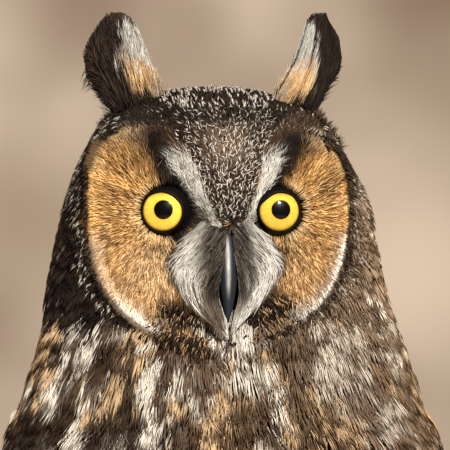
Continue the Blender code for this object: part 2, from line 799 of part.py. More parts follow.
def make_tail(owl):
    """Twelve feathers fanned from the covert cone, the middle pair on top, which is behind."""
    tail = trunk_piece("tail", TAIL_CUT_Z - GAP / 2, EYE_Z - 246.0, 8, 16, owl)
    vanes = make_collection("tail_vanes", hidden=True)
    root_z = TAIL_CUT_Z - 14.0
    for i in range(TAIL_FEATHERS):
        share = 2.0 * i / (TAIL_FEATHERS - 1) - 1.0
        layer = 5.6 * (1.0 - abs(share))
        root = Vector((share * 10.0, 25.0 + layer * 0.7, root_z))
        tip_x = share * TAIL_FAN
        tip = Vector((tip_x, 38.0 + layer, TAIL_TIP_Z + 5.0 * abs(share) ** 2))
        stations = []
        for t, width in ((0.0, 0.6), (0.8, 1.0), (1.0, 0.45)):
            centre = root.lerp(tip, t)
            side = Vector((1.0, 0.25 * share, 0.0)).normalized()
            normal = side.cross((tip - root).normalized()).normalized()
            stations.append((centre, side, normal, TAIL_HALF_WIDTH * width, 0.4))
        blade(f"rectrix_{i}", stations, vanes)
    run_boolean(tail, "UNION", vanes)
    own_material(tail, "plumage_tail")


# Legs, feet and claws
LEG_X = 23.0
LEG_PATH = [(0.0, 4.0, 60.0, 14.0), (0.0, 0.0, 44.0, 13.0), (0.0, -1.0, 28.0, 10.0), (0.0, 0.0, 14.0, 7.2), (0.0, 0.0, 9.8, 6.6)]
FOOT_PAD = (7.6, 8.6, 4.4)
TOE_RADIUS = 4.0
TOE_GAP = 0.45
# Each toe is (name, way it points, sideways start, sideways end, angle of its end past the top)
TOES = [
    ("inner", -1.0, -2.5, -8.0, 74.0),
    ("middle", -1.0, 3.0, 4.5, 84.0),
    ("outer", 1.0, 4.0, 9.0, 70.0),
    ("hind", 1.0, -2.5, -4.0, 62.0),
]
CLAW_SWEEP = 62.0


def leg_tube(name, x, grow, collection):
    points = [(x + dx, y, PERCH_TOP + up) for dx, y, up, r in LEG_PATH]
    radii = [r + grow for dx, y, up, r in LEG_PATH]
    return tube(name, points, radii, collection, 3)


def round_perch(x, way, angle, radius):
    """A point that lies round the perch, with room for a toe or claw of that radius."""
    reach = PERCH_RADIUS + TOE_GAP + radius
    a = math.radians(angle)
    return Vector((x, way * reach * math.sin(a), PERCH_AXIS + reach * math.cos(a)))


def make_foot(side, hand, owl):
    x = hand * LEG_X
    pad_z = PERCH_TOP + GAP + FOOT_PAD[2]
    foot = ball(f"foot_{side}", (x, 0.0, pad_z), FOOT_PAD, owl, 14, 8)
    toes = make_collection(f"foot_{side}_toes", hidden=True)
    for name, way, start, end, last in TOES:
        points, radii = [], []
        for i in range(6):
            t = i / 5
            radius = TOE_RADIUS * (1.0 - 0.28 * t + 0.10 * math.sin(3.0 * math.pi * t))
            place = x + hand * (start + (end - start) * t)
            points.append(round_perch(place, way, 4.0 + (last - 4.0) * t, radius))
            radii.append(radius)
        tube(f"{name}_toe", points, radii, toes, 1)
        make_claw(f"claw_{side}_{name}", x + hand * end, hand * (end - start) * 0.3, way, last, owl)
    run_boolean(foot, "UNION", toes)
    own_material(foot, "plumage_leg")


def make_claw(name, x, drift, way, start, owl):
    """A curved pointed claw that goes on round the perch from the end of its toe."""
    first = start + math.degrees(GAP / (PERCH_RADIUS + TOE_RADIUS)) + 1.2
    points, radii = [], []
    for i in range(7):
        t = i / 6
        radius = 2.1 * (1.0 - t) ** 0.8 + 0.15
        lift = 1.6 * math.sin(math.pi * min(1.0, t * 1.15))
        points.append(round_perch(x + drift * t, way, first + CLAW_SWEEP * t, radius + lift))
        radii.append(radius)
    claw = tube(name, points, radii, owl, 1)
    own_material(claw, "horn_black")


def make_legs(owl):
    for side, hand in (("right", -1.0), ("left", 1.0)):
        leg = leg_tube(f"leg_{side}", hand * LEG_X, 0.0, owl)
        own_material(leg, "plumage_leg")
        make_foot(side, hand, owl)


# Trunk
def make_trunk(owl):
    neck = trunk_piece("neck", HEAD_CUT_Z - GAP / 2, NECK_CUT_Z + GAP / 2, 4, 30, owl)
    torso = trunk_piece("torso", NECK_CUT_Z - GAP / 2, TAIL_CUT_Z + GAP / 2, 13, 24, owl)
    for obj in (neck, torso):
        beds = make_collection(obj.name + "_beds", hidden=True)
        for hand in (-1.0, 1.0):
            wing_core(f"wing_bed_{hand}", hand, GAP, beds)
            if obj is torso:
                leg_tube(f"leg_bed_{hand}", hand * LEG_X, GAP, beds)
        run_boolean(obj, "DIFFERENCE", beds)
        own_material(obj, "plumage_breast")


# Perch and stand
def make_perch(owl):
    points, radii = [], []
    count = 13
    for i in range(count):
        x = -PERCH_HALF + 2.0 * PERCH_HALF * i / (count - 1)
        past = max(0.0, abs(x) - 62.0) / 20.0
        points.append((x, 1.5 * past * math.sin(x), PERCH_AXIS))
        radii.append(PERCH_RADIUS - 1.2 * past * (1.0 if x < 0 else -0.6))
    perch = tube("perch_branch", points, radii, owl, 4)
    own_material(perch, "bark")


def make_stand(owl):
    base = cylinder("stand_base", BASE_RADIUS, 0.0, BASE_THICK, 0.0, 0.0, 40, owl)
    bevel = base.modifiers.new("edge", "BEVEL")
    bevel.width = 2.0 * MM
    bevel.segments = 1
    bevel.limit_method = "ANGLE"
    own_material(base, "stand_wood")
    rod_top = PERCH_AXIS - PERCH_RADIUS - GAP
    for side, hand in (("right", -1.0), ("left", 1.0)):
        rod = cylinder(f"stand_rod_{side}", ROD_RADIUS, BASE_THICK + GAP, rod_top, hand * ROD_X, 0.0, 20, owl)
        own_material(rod, "stand_steel")


def shade(owl):
    for obj in owl.objects:
        obj.data.shade_smooth()
        obj.data.set_sharp_from_angle(angle=math.radians(40.0))


def main():
    clear_scene()
    owl = make_collection("long_eared_owl")
    make_head(owl)
    make_eyes(owl)
    make_bills(owl)
    for name in TUFTS:
        make_tuft(name, owl)
    make_trunk(owl)
    make_wing("right", -1.0, owl)
    make_wing("left", 1.0, owl)
    make_tail(owl)
    make_legs(owl)
    make_perch(owl)
    make_stand(owl)
    shade(owl)


main()
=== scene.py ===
# %% [markdown]
# A long-eared owl, life size, perched upright on a short branch. The CAD model gives the solids and
# the frame that everything is placed in. This script dresses them: skin, feathers, eyes, bill and
# claws, then bark, wood and steel, light and camera.
# Lengths are in millimetres while we shape things, and become metres when a mesh is made. The owl
# looks along -Y, +Z is up, and the owl's own left is +X.

# %% Frame and helpers
import math

import bmesh
import bpy
import numpy as np
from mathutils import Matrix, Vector


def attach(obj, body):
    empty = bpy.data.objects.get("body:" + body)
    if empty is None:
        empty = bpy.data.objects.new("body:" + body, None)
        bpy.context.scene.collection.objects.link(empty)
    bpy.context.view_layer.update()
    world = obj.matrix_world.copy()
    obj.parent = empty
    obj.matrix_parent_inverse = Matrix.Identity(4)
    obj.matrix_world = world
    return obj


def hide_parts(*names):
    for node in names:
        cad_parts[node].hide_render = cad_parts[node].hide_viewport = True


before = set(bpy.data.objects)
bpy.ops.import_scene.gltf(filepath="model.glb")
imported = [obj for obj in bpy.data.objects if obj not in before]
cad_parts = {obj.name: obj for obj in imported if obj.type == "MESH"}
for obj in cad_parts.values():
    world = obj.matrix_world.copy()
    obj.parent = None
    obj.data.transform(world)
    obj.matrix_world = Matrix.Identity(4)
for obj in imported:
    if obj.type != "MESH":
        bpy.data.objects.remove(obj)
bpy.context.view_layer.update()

MM = 0.001
SIDES = (("right", -1.0), ("left", 1.0))
draw = np.random.default_rng(7)
print("nodes in the frame:", len(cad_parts))

# %% [markdown]
# The body is one smooth upright form. We could sculpt it, but every feather has to lie on it later,
# so it is better as a function: give it an angle round the body and a level down the body, and it
# returns a point. The rows below are the same named sizes as the solids have: height, half width,
# depth in front, depth behind, and the middle of the section.

# %% Sizes of the body
PERCH_TOP = 92.0
EYE_Z = PERCH_TOP + 218.0
HEAD_SHIFT_X = -2.9
HEAD_TURN = math.radians(5.5)
SIDE_SHIFT = 1.3
SIDE_POWER = 2.3
FACE_POWER = 4.0

UPPER_BODY = [
    (EYE_Z + 37.5, 0.8, 0.8, 0.8, 0.0),
    (EYE_Z + 36.4, 13.0, 14.0, 14.0, 0.0),
    (EYE_Z + 33.0, 23.5, 24.0, 24.0, 0.0),
    (EYE_Z + 27.5, 32.0, 31.0, 31.0, 0.0),
    (EYE_Z + 18.0, 37.5, 36.0, 36.0, 0.0),
    (EYE_Z + 3.0, 44.8, 36.5, 39.0, 0.0),
    (EYE_Z - 15.0, 49.3, 37.0, 40.5, 0.0),
    (EYE_Z - 33.0, 52.8, 38.0, 40.5, 0.0),
    (EYE_Z - 48.0, 56.8, 43.0, 42.5, 0.0),
    (EYE_Z - 63.0, 61.4, 49.0, 45.5, 0.0),
    (EYE_Z - 76.0, 66.0, 53.0, 48.0, 0.0),
    (EYE_Z - 95.0, 68.5, 55.0, 48.0, 0.0),
    (EYE_Z - 120.0, 66.5, 54.0, 47.0, 2.0),
    (EYE_Z - 145.0, 60.5, 49.0, 45.0, 5.0),
]
TRUNK_END = [
    (EYE_Z - 167.0, 51.0, 39.0, 39.0, 9.0),
    (EYE_Z - 184.0, 41.0, 29.0, 31.0, 14.0),
    (EYE_Z - 198.0, 31.0, 17.0, 22.0, 20.0),
    (EYE_Z - 212.0, 24.0, 10.0, 14.0, 26.0),
    (EYE_Z - 226.0, 19.0, 6.5, 8.0, 30.0),
    (EYE_Z - 240.0, 14.0, 4.0, 4.5, 33.5),
    (EYE_Z - 246.0, 6.0, 2.0, 2.0, 35.0),
]
WING_END = [
    (EYE_Z - 167.0, 53.0, 40.0, 42.0, 8.0),
    (EYE_Z - 186.0, 45.0, 30.0, 38.0, 13.0),
    (EYE_Z - 206.0, 38.0, 24.0, 33.0, 18.0),
    (EYE_Z - 226.0, 33.5, 20.0, 27.0, 23.0),
    (EYE_Z - 248.0, 30.0, 16.0, 21.0, 29.0),
    (EYE_Z - 268.0, 27.0, 12.0, 16.0, 34.0),
    (EYE_Z - 290.0, 25.0, 10.0, 13.0, 39.0),
    (EYE_Z - 300.0, 24.0, 9.0, 12.0, 41.0),
]
TRUNK = np.array(UPPER_BODY + TRUNK_END)
WING_HULL = np.array(UPPER_BODY + WING_END)

# Facial disc: a squarish oval in front of the head, measured from the line through the eyes
DISC_HALF_WIDTH, DISC_UP, DISC_DOWN, DISC_CENTRE = 38.5, 29.5, 35.0, -3.0
DISC_TOP_POWER, DISC_LOW_POWER = 3.6, 2.3
DISC_FRONT, RIM_HEIGHT = -35.5, 2.2
EYE_X, EYE_DEPTH, EYE_RADIUS = 16.4, -29.0, 9.0
EYE_SPLAY = math.radians(10.0)
# Where the middle of the turned face lies, sideways
FACE_MIDDLE = 0.2

# %% The body as a function
def ease(value, low, high):
    """0 below low, 1 above high, and a smooth step between them."""
    t = np.clip((value - low) / (high - low), 0.0, 1.0)
    return t * t * (3.0 - 2.0 * t)


def signed_power(value, power):
    return np.sign(value) * np.abs(value) ** power


def unit(vectors):
    return vectors / (np.linalg.norm(vectors, axis=-1, keepdims=True) + 1e-12)


def rows_at(table, level):
    """The table's five values at fractional row numbers, on a smooth curve through the rows."""
    level = np.clip(np.asarray(level, float), 0.0, len(table) - 1.0)
    i = np.minimum(level.astype(int), len(table) - 2)
    f = (level - i)[..., None]
    p0, p1 = table[np.maximum(i - 1, 0)], table[i]
    p2, p3 = table[i + 1], table[np.minimum(i + 2, len(table) - 1)]
    s1, s2 = (p2 - p0) / 2, (p3 - p1) / 2
    f2, f3 = f * f, f * f * f
    rows = (2 * f3 - 3 * f2 + 1) * p1 + (f3 - 2 * f2 + f) * s1 + (3 * f2 - 2 * f3) * p2 + (f3 - f2) * s2
    return [rows[..., k] for k in range(5)]


def level_of(table, z):
    levels = np.linspace(0.0, len(table) - 1.0, 600)
    return np.interp(-np.asarray(z, float), -rows_at(table, levels)[0], levels)

# %% The turned head and its face
def turned(x, y, z):
    """Points turned and shifted as the head is, less and less down the neck."""
    share = ease(z, EYE_Z - 50.0, EYE_Z - 22.0)
    c, s = np.cos(HEAD_TURN * share), np.sin(HEAD_TURN * share)
    return np.stack([x * c - y * s + HEAD_SHIFT_X * share, x * s + y * c, z + 0.0 * x], axis=-1)


def on_head(x, y, up):
    """Points of the head from sideways, forward (-y) and up from the eye line."""
    x, y, up = np.broadcast_arrays(np.asarray(x, float), np.asarray(y, float), np.asarray(up, float))
    c, s = math.cos(HEAD_TURN), math.sin(HEAD_TURN)
    return np.stack([x * c - y * s + HEAD_SHIFT_X, x * s + y * c, EYE_Z + up], axis=-1)


def disc_edge(x, up):
    """Distance outside (+) or inside (-) the outline of the facial disc."""
    top = up > DISC_CENTRE
    half = np.where(top, DISC_UP, DISC_DOWN)
    power = np.where(top, DISC_TOP_POWER, DISC_LOW_POWER)
    reach = np.abs(x / DISC_HALF_WIDTH) ** power + np.abs((up - DISC_CENTRE) / half) ** power
    return (reach ** (1.0 / power) - 1.0) * (DISC_HALF_WIDTH + half) / 2


def face_front(x, up):
    """How far forward the face lies at a place x sideways and up from the eye line."""
    side = np.abs(x)
    y = DISC_FRONT + 0.015 * np.maximum(side - EYE_X, 0.0) ** 2
    y = y + np.where(up > 0, 0.008, 0.0015) * up * up
    brow = 7.0 * np.exp(-((side / (8.0 + 0.25 * np.maximum(up, 0.0))) ** 2)) * ease(up, -14.0, -2.0)
    mound = 8.5 * np.exp(-((side / 9.5) ** 2)) * ease(up, -38.0, -22.0) * (1.0 - ease(up, -8.0, 0.0))
    hollow = 3.0 * np.exp(-(((side - EYE_X + 4.0) / 6.0) ** 2) - ((up + 1.0) / 9.0) ** 2)
    return y - brow - mound + hollow


def front_power(up):
    """The face is squarer in section than the rest of the body."""
    return SIDE_POWER + (FACE_POWER - SIDE_POWER) * ease(up, -18.0, 20.0) * (1.0 - ease(up, 20.0, 33.0))

# %% Points on the body
def body_point(table, angle, level):
    """angle runs from 0 at the front, through 90 at +X, to 180 behind; level down the rows."""
    z, half, front, back, centre = rows_at(table, level)
    up = z - EYE_Z
    a = np.radians(angle)
    sine, cosine = np.sin(a), np.cos(a)
    power = 2.0 / np.where(cosine > 0, front_power(up), SIDE_POWER)
    x = half * signed_power(sine, power)
    y = centre - np.where(cosine > 0, front, back) * signed_power(cosine, power)
    beside = ease(up, -52.0, -30.0) * (1.0 - ease(up, 2.0, 16.0))
    x = x + SIDE_SHIFT * beside * np.abs(sine) ** 6
    edge = disc_edge(x, up)
    face = (cosine > 0) & (up > -45.0)
    inside = (1.0 - ease(edge, -1.5, 1.5)) * face
    y = y * (1.0 - inside) + face_front(x, up) * inside
    y = y - RIM_HEIGHT * np.exp(-((edge / 2.2) ** 2)) * face
    return turned(x, y, z)


def body_basis(table, angle, level):
    """Vectors for a degree round the body and a level down it, and the outward normal."""
    across = (body_point(table, angle + 1.0, level) - body_point(table, angle - 1.0, level)) / 2.0
    down = (body_point(table, angle, level + 0.05) - body_point(table, angle, level - 0.05)) / 0.1
    return across, down, unit(np.cross(across, -down))


FRONT_UP = np.linspace(37.4, -60.0, 400)
FRONT_ROWS = rows_at(TRUNK, level_of(TRUNK, EYE_Z + FRONT_UP))


def face_point(x, up, lift):
    """A point in front of the head, lift millimetres out from the surface."""
    half = np.interp(-up, -FRONT_UP, FRONT_ROWS[1])
    front = np.interp(-up, -FRONT_UP, FRONT_ROWS[2])
    power = front_power(up)
    part = np.clip(np.abs(x) / half, 0.0, 0.985)
    y = -front * (1.0 - part ** power) ** (1.0 / power)
    edge = disc_edge(x, up)
    inside = 1.0 - ease(edge, -1.5, 1.5)
    y = y * (1.0 - inside) + face_front(x, up) * inside - RIM_HEIGHT * np.exp(-((edge / 2.2) ** 2))
    return on_head(x, y - lift, up)


print("body form runs from z", TRUNK[0, 0], "down to", TRUNK[-1, 0], "mm")

# %% [markdown]
# Feathers need many small differences, so we want noise that gives the same value at the same place
# for skin and feather alike. It is cheaper to compute it here, for all points at once, than to ask
# a texture for it later. Colours are named the way we see them on a screen and made linear.

# %% Noise and colour helpers
def scatter(i, j, k, seed):
    h = (i * 374761393 + j * 668265263 + k * 144665923 + seed * 974634777) & 0xFFFFFFFF
    h = ((h ^ (h >> 13)) * 1274126177) & 0xFFFFFFFF
    return ((h ^ (h >> 16)) & 0xFFFF) / 65535.0


def noise_at(points, size, seed=0):
    """Smooth noise between 0 and 1 whose lumps are about size across."""
    p = np.asarray(points) / size
    i = np.floor(p).astype(np.int64)
    f = p - i
    f = f * f * (3.0 - 2.0 * f)
    total = 0.0
    for dx in (0, 1):
        for dy in (0, 1):
            for dz in (0, 1):
                w = (f[..., 0] if dx else 1 - f[..., 0]) * (f[..., 1] if dy else 1 - f[..., 1])
                w = w * (f[..., 2] if dz else 1 - f[..., 2])
                total = total + w * scatter(i[..., 0] + dx, i[..., 1] + dy, i[..., 2] + dz, seed)
    return total


def tint(r, g, b):
    """A colour as seen on a screen, 0 to 255, made linear."""
    c = np.array([r, g, b]) / 255.0
    return np.where(c <= 0.04045, c / 12.92, ((c + 0.055) / 1.055) ** 2.4)


def blend(first, second, share):
    return first + (second - first) * np.asarray(share)[..., None]


RUFOUS, DEEP_RUFOUS = tint(212, 168, 104), tint(142, 100, 50)
PINK_BUFF, BUFF = tint(234, 202, 160), tint(222, 194, 152)
WHITE, GREY = tint(226, 224, 220), tint(146, 142, 136)
DARK_BROWN, BLACK_BROWN = tint(62, 47, 36), tint(26, 20, 17)
BREAST_DARK, BREAST_MID = tint(74, 58, 45), tint(132, 112, 90)
TAWNY = tint(190, 148, 98)
print("pale to dark:", [round(float(c.mean()), 3) for c in (WHITE, BUFF, RUFOUS, DARK_BROWN, BLACK_BROWN)])

# %% [markdown]
# Every piece ends the same way: it becomes an object, gets its material, and says what it moves with
# and which solids it stands for. Materials repeat themselves too, since wood, bark and bare skin
# all take their colour from noise that runs through a few tones.

# %% Objects and materials
def add_object(name, data):
    obj = bpy.data.objects.new(name, data)
    bpy.context.scene.collection.objects.link(obj)
    return obj


def dress(obj, material, slot, *nodes):
    """Gives a piece its material and its body, and hides the nodes that it replaces. slot is not used."""
    obj.data.materials.append(material)
    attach(obj, "root")
    if nodes:
        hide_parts(*nodes)
    return obj


def paint(mesh, colours):
    """Gives each point of a mesh its colour."""
    layer = mesh.color_attributes.new("coat", "FLOAT_COLOR", "POINT")
    rgba = np.ones((len(colours), 4), np.float32)
    rgba[:, :3] = colours
    layer.data.foreach_set("color", rgba.ravel())


def move_points(shape, points):
    """Moves the points of a bmesh to places that are given in mm."""
    for vert, place in zip(shape.verts, points):
        vert.co = Vector(place) * MM


def shaped_object(name, shape, colours=None):
    """A smooth object from a bmesh, which is used up."""
    mesh = bpy.data.meshes.new(name)
    shape.to_mesh(mesh)
    shape.free()
    mesh.shade_smooth()
    if colours is not None:
        paint(mesh, colours)
    return add_object(name, mesh)

# %% Nodes and materials
def fill(node, values):
    """Sets input sockets of a node, by name or number."""
    for socket, value in values.items():
        node.inputs[socket].default_value = value


def add_nodes(tree, *kinds):
    return [tree.nodes.new("ShaderNode" + kind) for kind in kinds]


def wire(tree, *joins):
    """Links node, output to node, input, as often as there are joins."""
    for source, output, target, entry in joins:
        tree.links.new(source.outputs[output], target.inputs[entry])


def new_material(name, values):
    """A material whose shader has these values. Returns it with its node tree and its shader."""
    material = bpy.data.materials.new(name)
    material.use_nodes = True
    tree = material.node_tree
    fill(tree.nodes["Principled BSDF"], values)
    return material, tree, tree.nodes["Principled BSDF"]


def ramp_node(tree, stops):
    ramp = tree.nodes.new("ShaderNodeValToRGB")
    elements = ramp.color_ramp.elements
    while len(elements) < len(stops):
        elements.new(0.5)
    for element, (position, colour) in zip(elements, stops):
        element.position, element.color = position, (*colour, 1.0)
    return ramp


def add_bump(tree, shader, noise, strength, distance):
    bump = tree.nodes.new("ShaderNodeBump")
    fill(bump, {"Strength": strength, "Distance": distance})
    wire(tree, (noise, "Fac", bump, "Height"), (bump, "Normal", shader, "Normal"))


def noisy_material(name, shader_values, stretch_by, noise_values, stops, bump=None):
    """A material whose colour is noise, stretched over the piece, that runs through the stops."""
    material, tree, shader = new_material(name, shader_values)
    place, stretch, noise = add_nodes(tree, "TexCoord", "Mapping", "TexNoise")
    ramp = ramp_node(tree, stops)
    fill(stretch, {"Scale": stretch_by})
    fill(noise, noise_values)
    wire(tree, (place, "Object", stretch, "Vector"), (stretch, "Vector", noise, "Vector"),
         (noise, "Fac", ramp, "Fac"), (ramp, "Color", shader, "Base Color"))
    if bump:
        add_bump(tree, shader, noise, *bump)
    return material


def multiply_paint(tree, shader, source, output):
    """The colours of the mesh's points, multiplied by another node's output, as the base colour."""
    colour, mix = add_nodes(tree, "Attribute", "Mix")
    colour.attribute_name = "coat"
    mix.data_type, mix.blend_type = "RGBA", "MULTIPLY"
    mix.inputs["Factor"].default_value = 1.0
    wire(tree, (colour, "Color", mix, "A"), (source, output, mix, "B"),
         (mix, "Result", shader, "Base Color"))

# %% [markdown]
# A feather's barbs, a whisker and a hair-like plume all have one shape: a long thin spike that
# bends. We could draw them as flat cards, but these are solid: a triangle in section that tapers to
# a point. One function builds any number of them as a single mesh. Each strand also gets a small
# patch of its own in the map named OFBake, at its root's place on the unrolled body.

# %% Strand builder
def new_mesh(name, points, triangles, colours=None, uv=None):
    """A mesh object from arrays, with points in millimetres."""
    mesh = bpy.data.meshes.new(name)
    mesh.vertices.add(len(points))
    mesh.vertices.foreach_set("co", (np.asarray(points) * MM).astype(np.float32).ravel())
    corners = np.asarray(triangles, np.int32).ravel()
    mesh.loops.add(len(corners))
    mesh.loops.foreach_set("vertex_index", corners)
    mesh.polygons.add(len(triangles))
    mesh.polygons.foreach_set("loop_start", np.arange(0, len(corners), 3, dtype=np.int32))
    mesh.update(calc_edges=True)
    if colours is not None:
        paint(mesh, colours)
    if uv is not None:
        layer = mesh.uv_layers.new(name="OFBake")
        layer.uv.foreach_set("vector", np.asarray(uv, np.float32)[corners].ravel())
    mesh.polygons.foreach_set("use_smooth", np.ones(len(triangles), bool))
    return add_object(name, mesh)

# %% A strand
def strand_arrays(paths, normals, half, colours, root_uv):
    """Points, triangles, colours and map places of tapered strands.

    paths is (strands, stations, 3), half the half widths, colours (strands, stations, 3).
    """
    n, k = half.shape
    along = np.empty_like(paths)
    along[:, 1:-1] = paths[:, 2:] - paths[:, :-2]
    along[:, 0], along[:, -1] = paths[:, 1] - paths[:, 0], paths[:, -1] - paths[:, -2]
    along = unit(along)
    if normals.ndim == 2:
        normals = np.repeat(normals[:, None], k, axis=1)
    side = unit(np.cross(normals, along))
    top = unit(np.cross(along, side))
    w = half[..., None]
    rings = np.stack([paths - side * w, paths + side * w, paths + top * w * 0.9], axis=2)[:, :-1]
    points = np.concatenate([rings.reshape(n, -1, 3), paths[:, -1:]], axis=1)
    tip = 3 * (k - 1)
    faces = [(0, 2, 1)]
    for r in range(k - 2):
        a, b, c = 3 * r, 3 * r + 1, 3 * r + 2
        d, e, f = a + 3, b + 3, c + 3
        faces += [(a, b, e), (a, e, d), (a, d, f), (a, f, c), (b, c, f), (b, f, e)]
    a, b, c = tip - 3, tip - 2, tip - 1
    faces += [(a, b, tip), (a, tip, c), (b, c, tip)]
    triangles = (np.array(faces)[None] + (np.arange(n) * (tip + 1))[:, None, None]).reshape(-1, 3)
    shade = np.repeat(colours[:, :-1, None], 3, axis=2).reshape(n, -1, 3)
    shade = np.concatenate([shade, colours[:, -1:]], axis=1)
    step = np.arange(k) / (k - 1)
    places = np.zeros((n, tip + 1, 2))
    for corner, du in enumerate((-0.0014, 0.0014, 0.0)):
        places[:, corner:tip:3, 0] = du
    places[:, :tip, 1] = np.repeat(0.0015 - 0.003 * step[:-1], 3)
    places[:, tip, 1] = -0.0015
    places += root_uv[:, None]
    return points.reshape(-1, 3), triangles, shade.reshape(-1, 3), places.reshape(-1, 2)


def join_arrays(groups):
    """Joins several results of strand_arrays into one set of arrays."""
    points, triangles, shade, places = zip(*groups)
    starts = np.cumsum([0] + [len(p) for p in points[:-1]])
    triangles = [t + start for t, start in zip(triangles, starts)]
    return tuple(np.concatenate(part) for part in (points, triangles, shade, places))

# %% Map places and coat pieces
def unroll(table, angle, level):
    """Place of a root on the body's unrolled skin, for the bake map."""
    wrapped = (np.asarray(angle) + 180.0) % 360.0 / 360.0
    return np.stack([0.02 + 0.96 * wrapped, 0.98 - 0.96 * np.asarray(level) / (len(table) - 1)], axis=-1)


def unroll_face(x, up):
    """The same, for a root in front of the head."""
    half = np.interp(-up, -FRONT_UP, FRONT_ROWS[1])
    sine = np.clip(np.abs(x) / half, 0.0, 0.999) ** (front_power(up) / 2.0)
    return unroll(TRUNK, np.degrees(np.arcsin(sine)) * np.sign(x), level_of(TRUNK, EYE_Z + up))


COAT = []


def coat_piece(name, groups, material, *nodes, slot="plumage_body"):
    """One mesh of feathers from one or more groups of arrays."""
    points, triangles, shade, places = join_arrays(groups) if isinstance(groups, list) else groups
    obj = dress(new_mesh(name, points, triangles, shade, places), material, slot, *nodes)
    COAT.append(obj)
    print(name, len(triangles), "triangles")
    return obj

# %% [markdown]
# Feather is matt, so it takes light softly. The colour comes with each point of the mesh, and a fine
# grain in the material keeps any strand from being one flat tone.

# %% Materials of the coat
GRAIN_SCALE = 1400.0


def coat_material(name, grain=0.3, roughness=0.8):
    material, tree, shader = new_material(name, {"Roughness": roughness, "Specular IOR Level": 0.12})
    place, speck, ramp = add_nodes(tree, "TexCoord", "TexNoise", "MapRange")
    fill(speck, {"Scale": GRAIN_SCALE, "Detail": 2.0})
    fill(ramp, {"To Min": 1.0 - grain, "To Max": 1.0 + grain})
    wire(tree, (place, "Object", speck, "Vector"), (speck, "Fac", ramp, "Value"))
    multiply_paint(tree, shader, ramp, "Result")
    return material


DOWN = coat_material("soft_plumage")
VANE = coat_material("vane", grain=0.2, roughness=0.65)
SKIN = coat_material("under_coat", grain=0.3, roughness=0.9)
print("coat materials:", DOWN.name, VANE.name, SKIN.name)

# %% [markdown]
# The markings are the pattern that names the species: two rufous discs with a dark wedge above each
# eye, white brows that meet over the bill, and a black forehead with white flecks. Each mark is a
# line with a width, or an oval, placed in millimetres beside and above the line through the eyes.
# Skin and feathers both ask the same functions, so a gap between feathers never shows a wrong tone.

# %% Markings of the face
# Line through points (sideways, up, half width), seen from the front
BROWS = [
    np.array([(-13.6, 16.4, 3.2), (-11.4, 12.3, 2.6), (-9.9, 9.3, 2.1), (-8.1, 6.3, 1.6), (-5.9, 0.9, 1.2),
              (-4.2, -2.4, 1.0), (-2.4, -5.1, 0.9)]),
    np.array([(15.1, 16.3, 2.9), (14.1, 12.3, 2.2), (13.1, 8.7, 1.7), (11.8, 4.5, 1.2), (10.3, 1.5, 1.0),
              (8.4, -2.1, 1.0), (6.3, -5.1, 1.0)]),
]
WEDGES = [
    np.array([(-20.4, 22.0, 3.4), (-18.9, 16.0, 2.8), (-16.6, 11.0, 2.6), (-13.9, 7.0, 3.0), (-9.8, 2.4, 2.2),
              (-7.6, -2.4, 1.7)]),
    np.array([(22.0, 21.0, 3.4), (20.2, 16.0, 2.8), (18.4, 11.6, 2.4), (15.6, 8.2, 1.9), (13.0, 5.0, 1.2),
              (11.6, -4.0, 1.0)]),
]
IRIS = [(-17.4, 0.0), (17.2, -0.3)]

# %% Reach of a marking
def line_reach(x, up, line):
    """How far inside (+) or outside (-) the widened line each point is."""
    best = np.full(np.shape(x), -99.0)
    for i in range(len(line) - 1):
        (x0, u0, w0), (x1, u1, w1) = line[i], line[i + 1]
        dx, du = x1 - x0, u1 - u0
        t = np.clip(((x - x0) * dx + (up - u0) * du) / (dx * dx + du * du), 0.0, 1.0)
        inside = w0 + (w1 - w0) * t - np.hypot(x - x0 - dx * t, up - u0 - du * t)
        best = np.maximum(best, inside)
    return best


def mark_edge(x, up):
    """Distance outside (+) or inside (-) the coloured part of the discs."""
    half_x = np.where(x < 0, 39.6, 37.4)
    top = up > -1.5
    half = np.where(top, np.where(x < 0, 26.9, 25.4), np.where(x < 0, 38.5, 36.6))
    power = np.where(top, np.where(x < 0, 5.5, 4.6), 2.3)
    reach = np.abs(x / half_x) ** power + np.abs((up + 1.5) / half) ** power
    return (reach ** (1.0 / power) - 1.0) * (half_x + half) / 2


def forehead_reach(x, up):
    """How far inside the dark shield of the forehead, with its rounded tip over the bill."""
    levels = [-4.6, -3.4, -1.2, 1.8, 7.0, 9.3, 16.0, 20.0, 26.0, 30.0]
    half = np.interp(up, levels, [0.0, 3.0, 5.6, 7.2, 8.8, 9.5, 11.0, 13.5, 19.0, 26.0])
    middle = np.interp(up, [-4.5, 1.8, 9.0, 16.0, 24.0], [2.7, 2.4, 1.5, 0.7, 0.3])
    return half - np.abs(x - middle)

# %% Streams of bristles and dark chin patches
# Middle lines of four streams of bristles on each side of the bill, from the inner to the outer
STREAMS = {
    -1.0: np.array([[(1.6, -4.8), (1.4, -11.7), (0.6, -19.2), (0.3, -26.7), (1.6, -36.0)],
                    [(-2.4, -4.0), (-4.4, -11.4), (-5.0, -19.2), (-3.2, -28.0), (1.2, -38.4)],
                    [(-4.8, -3.0), (-8.4, -10.5), (-10.6, -18.0), (-6.8, -28.2), (0.2, -37.4)],
                    [(-7.4, -2.6), (-12.6, -10.2), (-16.2, -17.0), (-10.2, -28.2), (-0.8, -36.2)]]),
    1.0: np.array([[(2.6, -4.8), (3.0, -11.7), (3.9, -19.2), (3.9, -26.7), (2.4, -36.0)],
                   [(5.4, -3.8), (7.8, -11.4), (8.5, -19.2), (6.2, -28.0), (2.4, -38.2)],
                   [(7.2, -2.8), (11.4, -10.5), (13.6, -17.7), (9.0, -27.6), (3.0, -36.8)],
                   [(8.8, -2.4), (14.2, -10.2), (18.0, -16.8), (12.0, -26.6), (4.0, -35.4)]]),
}


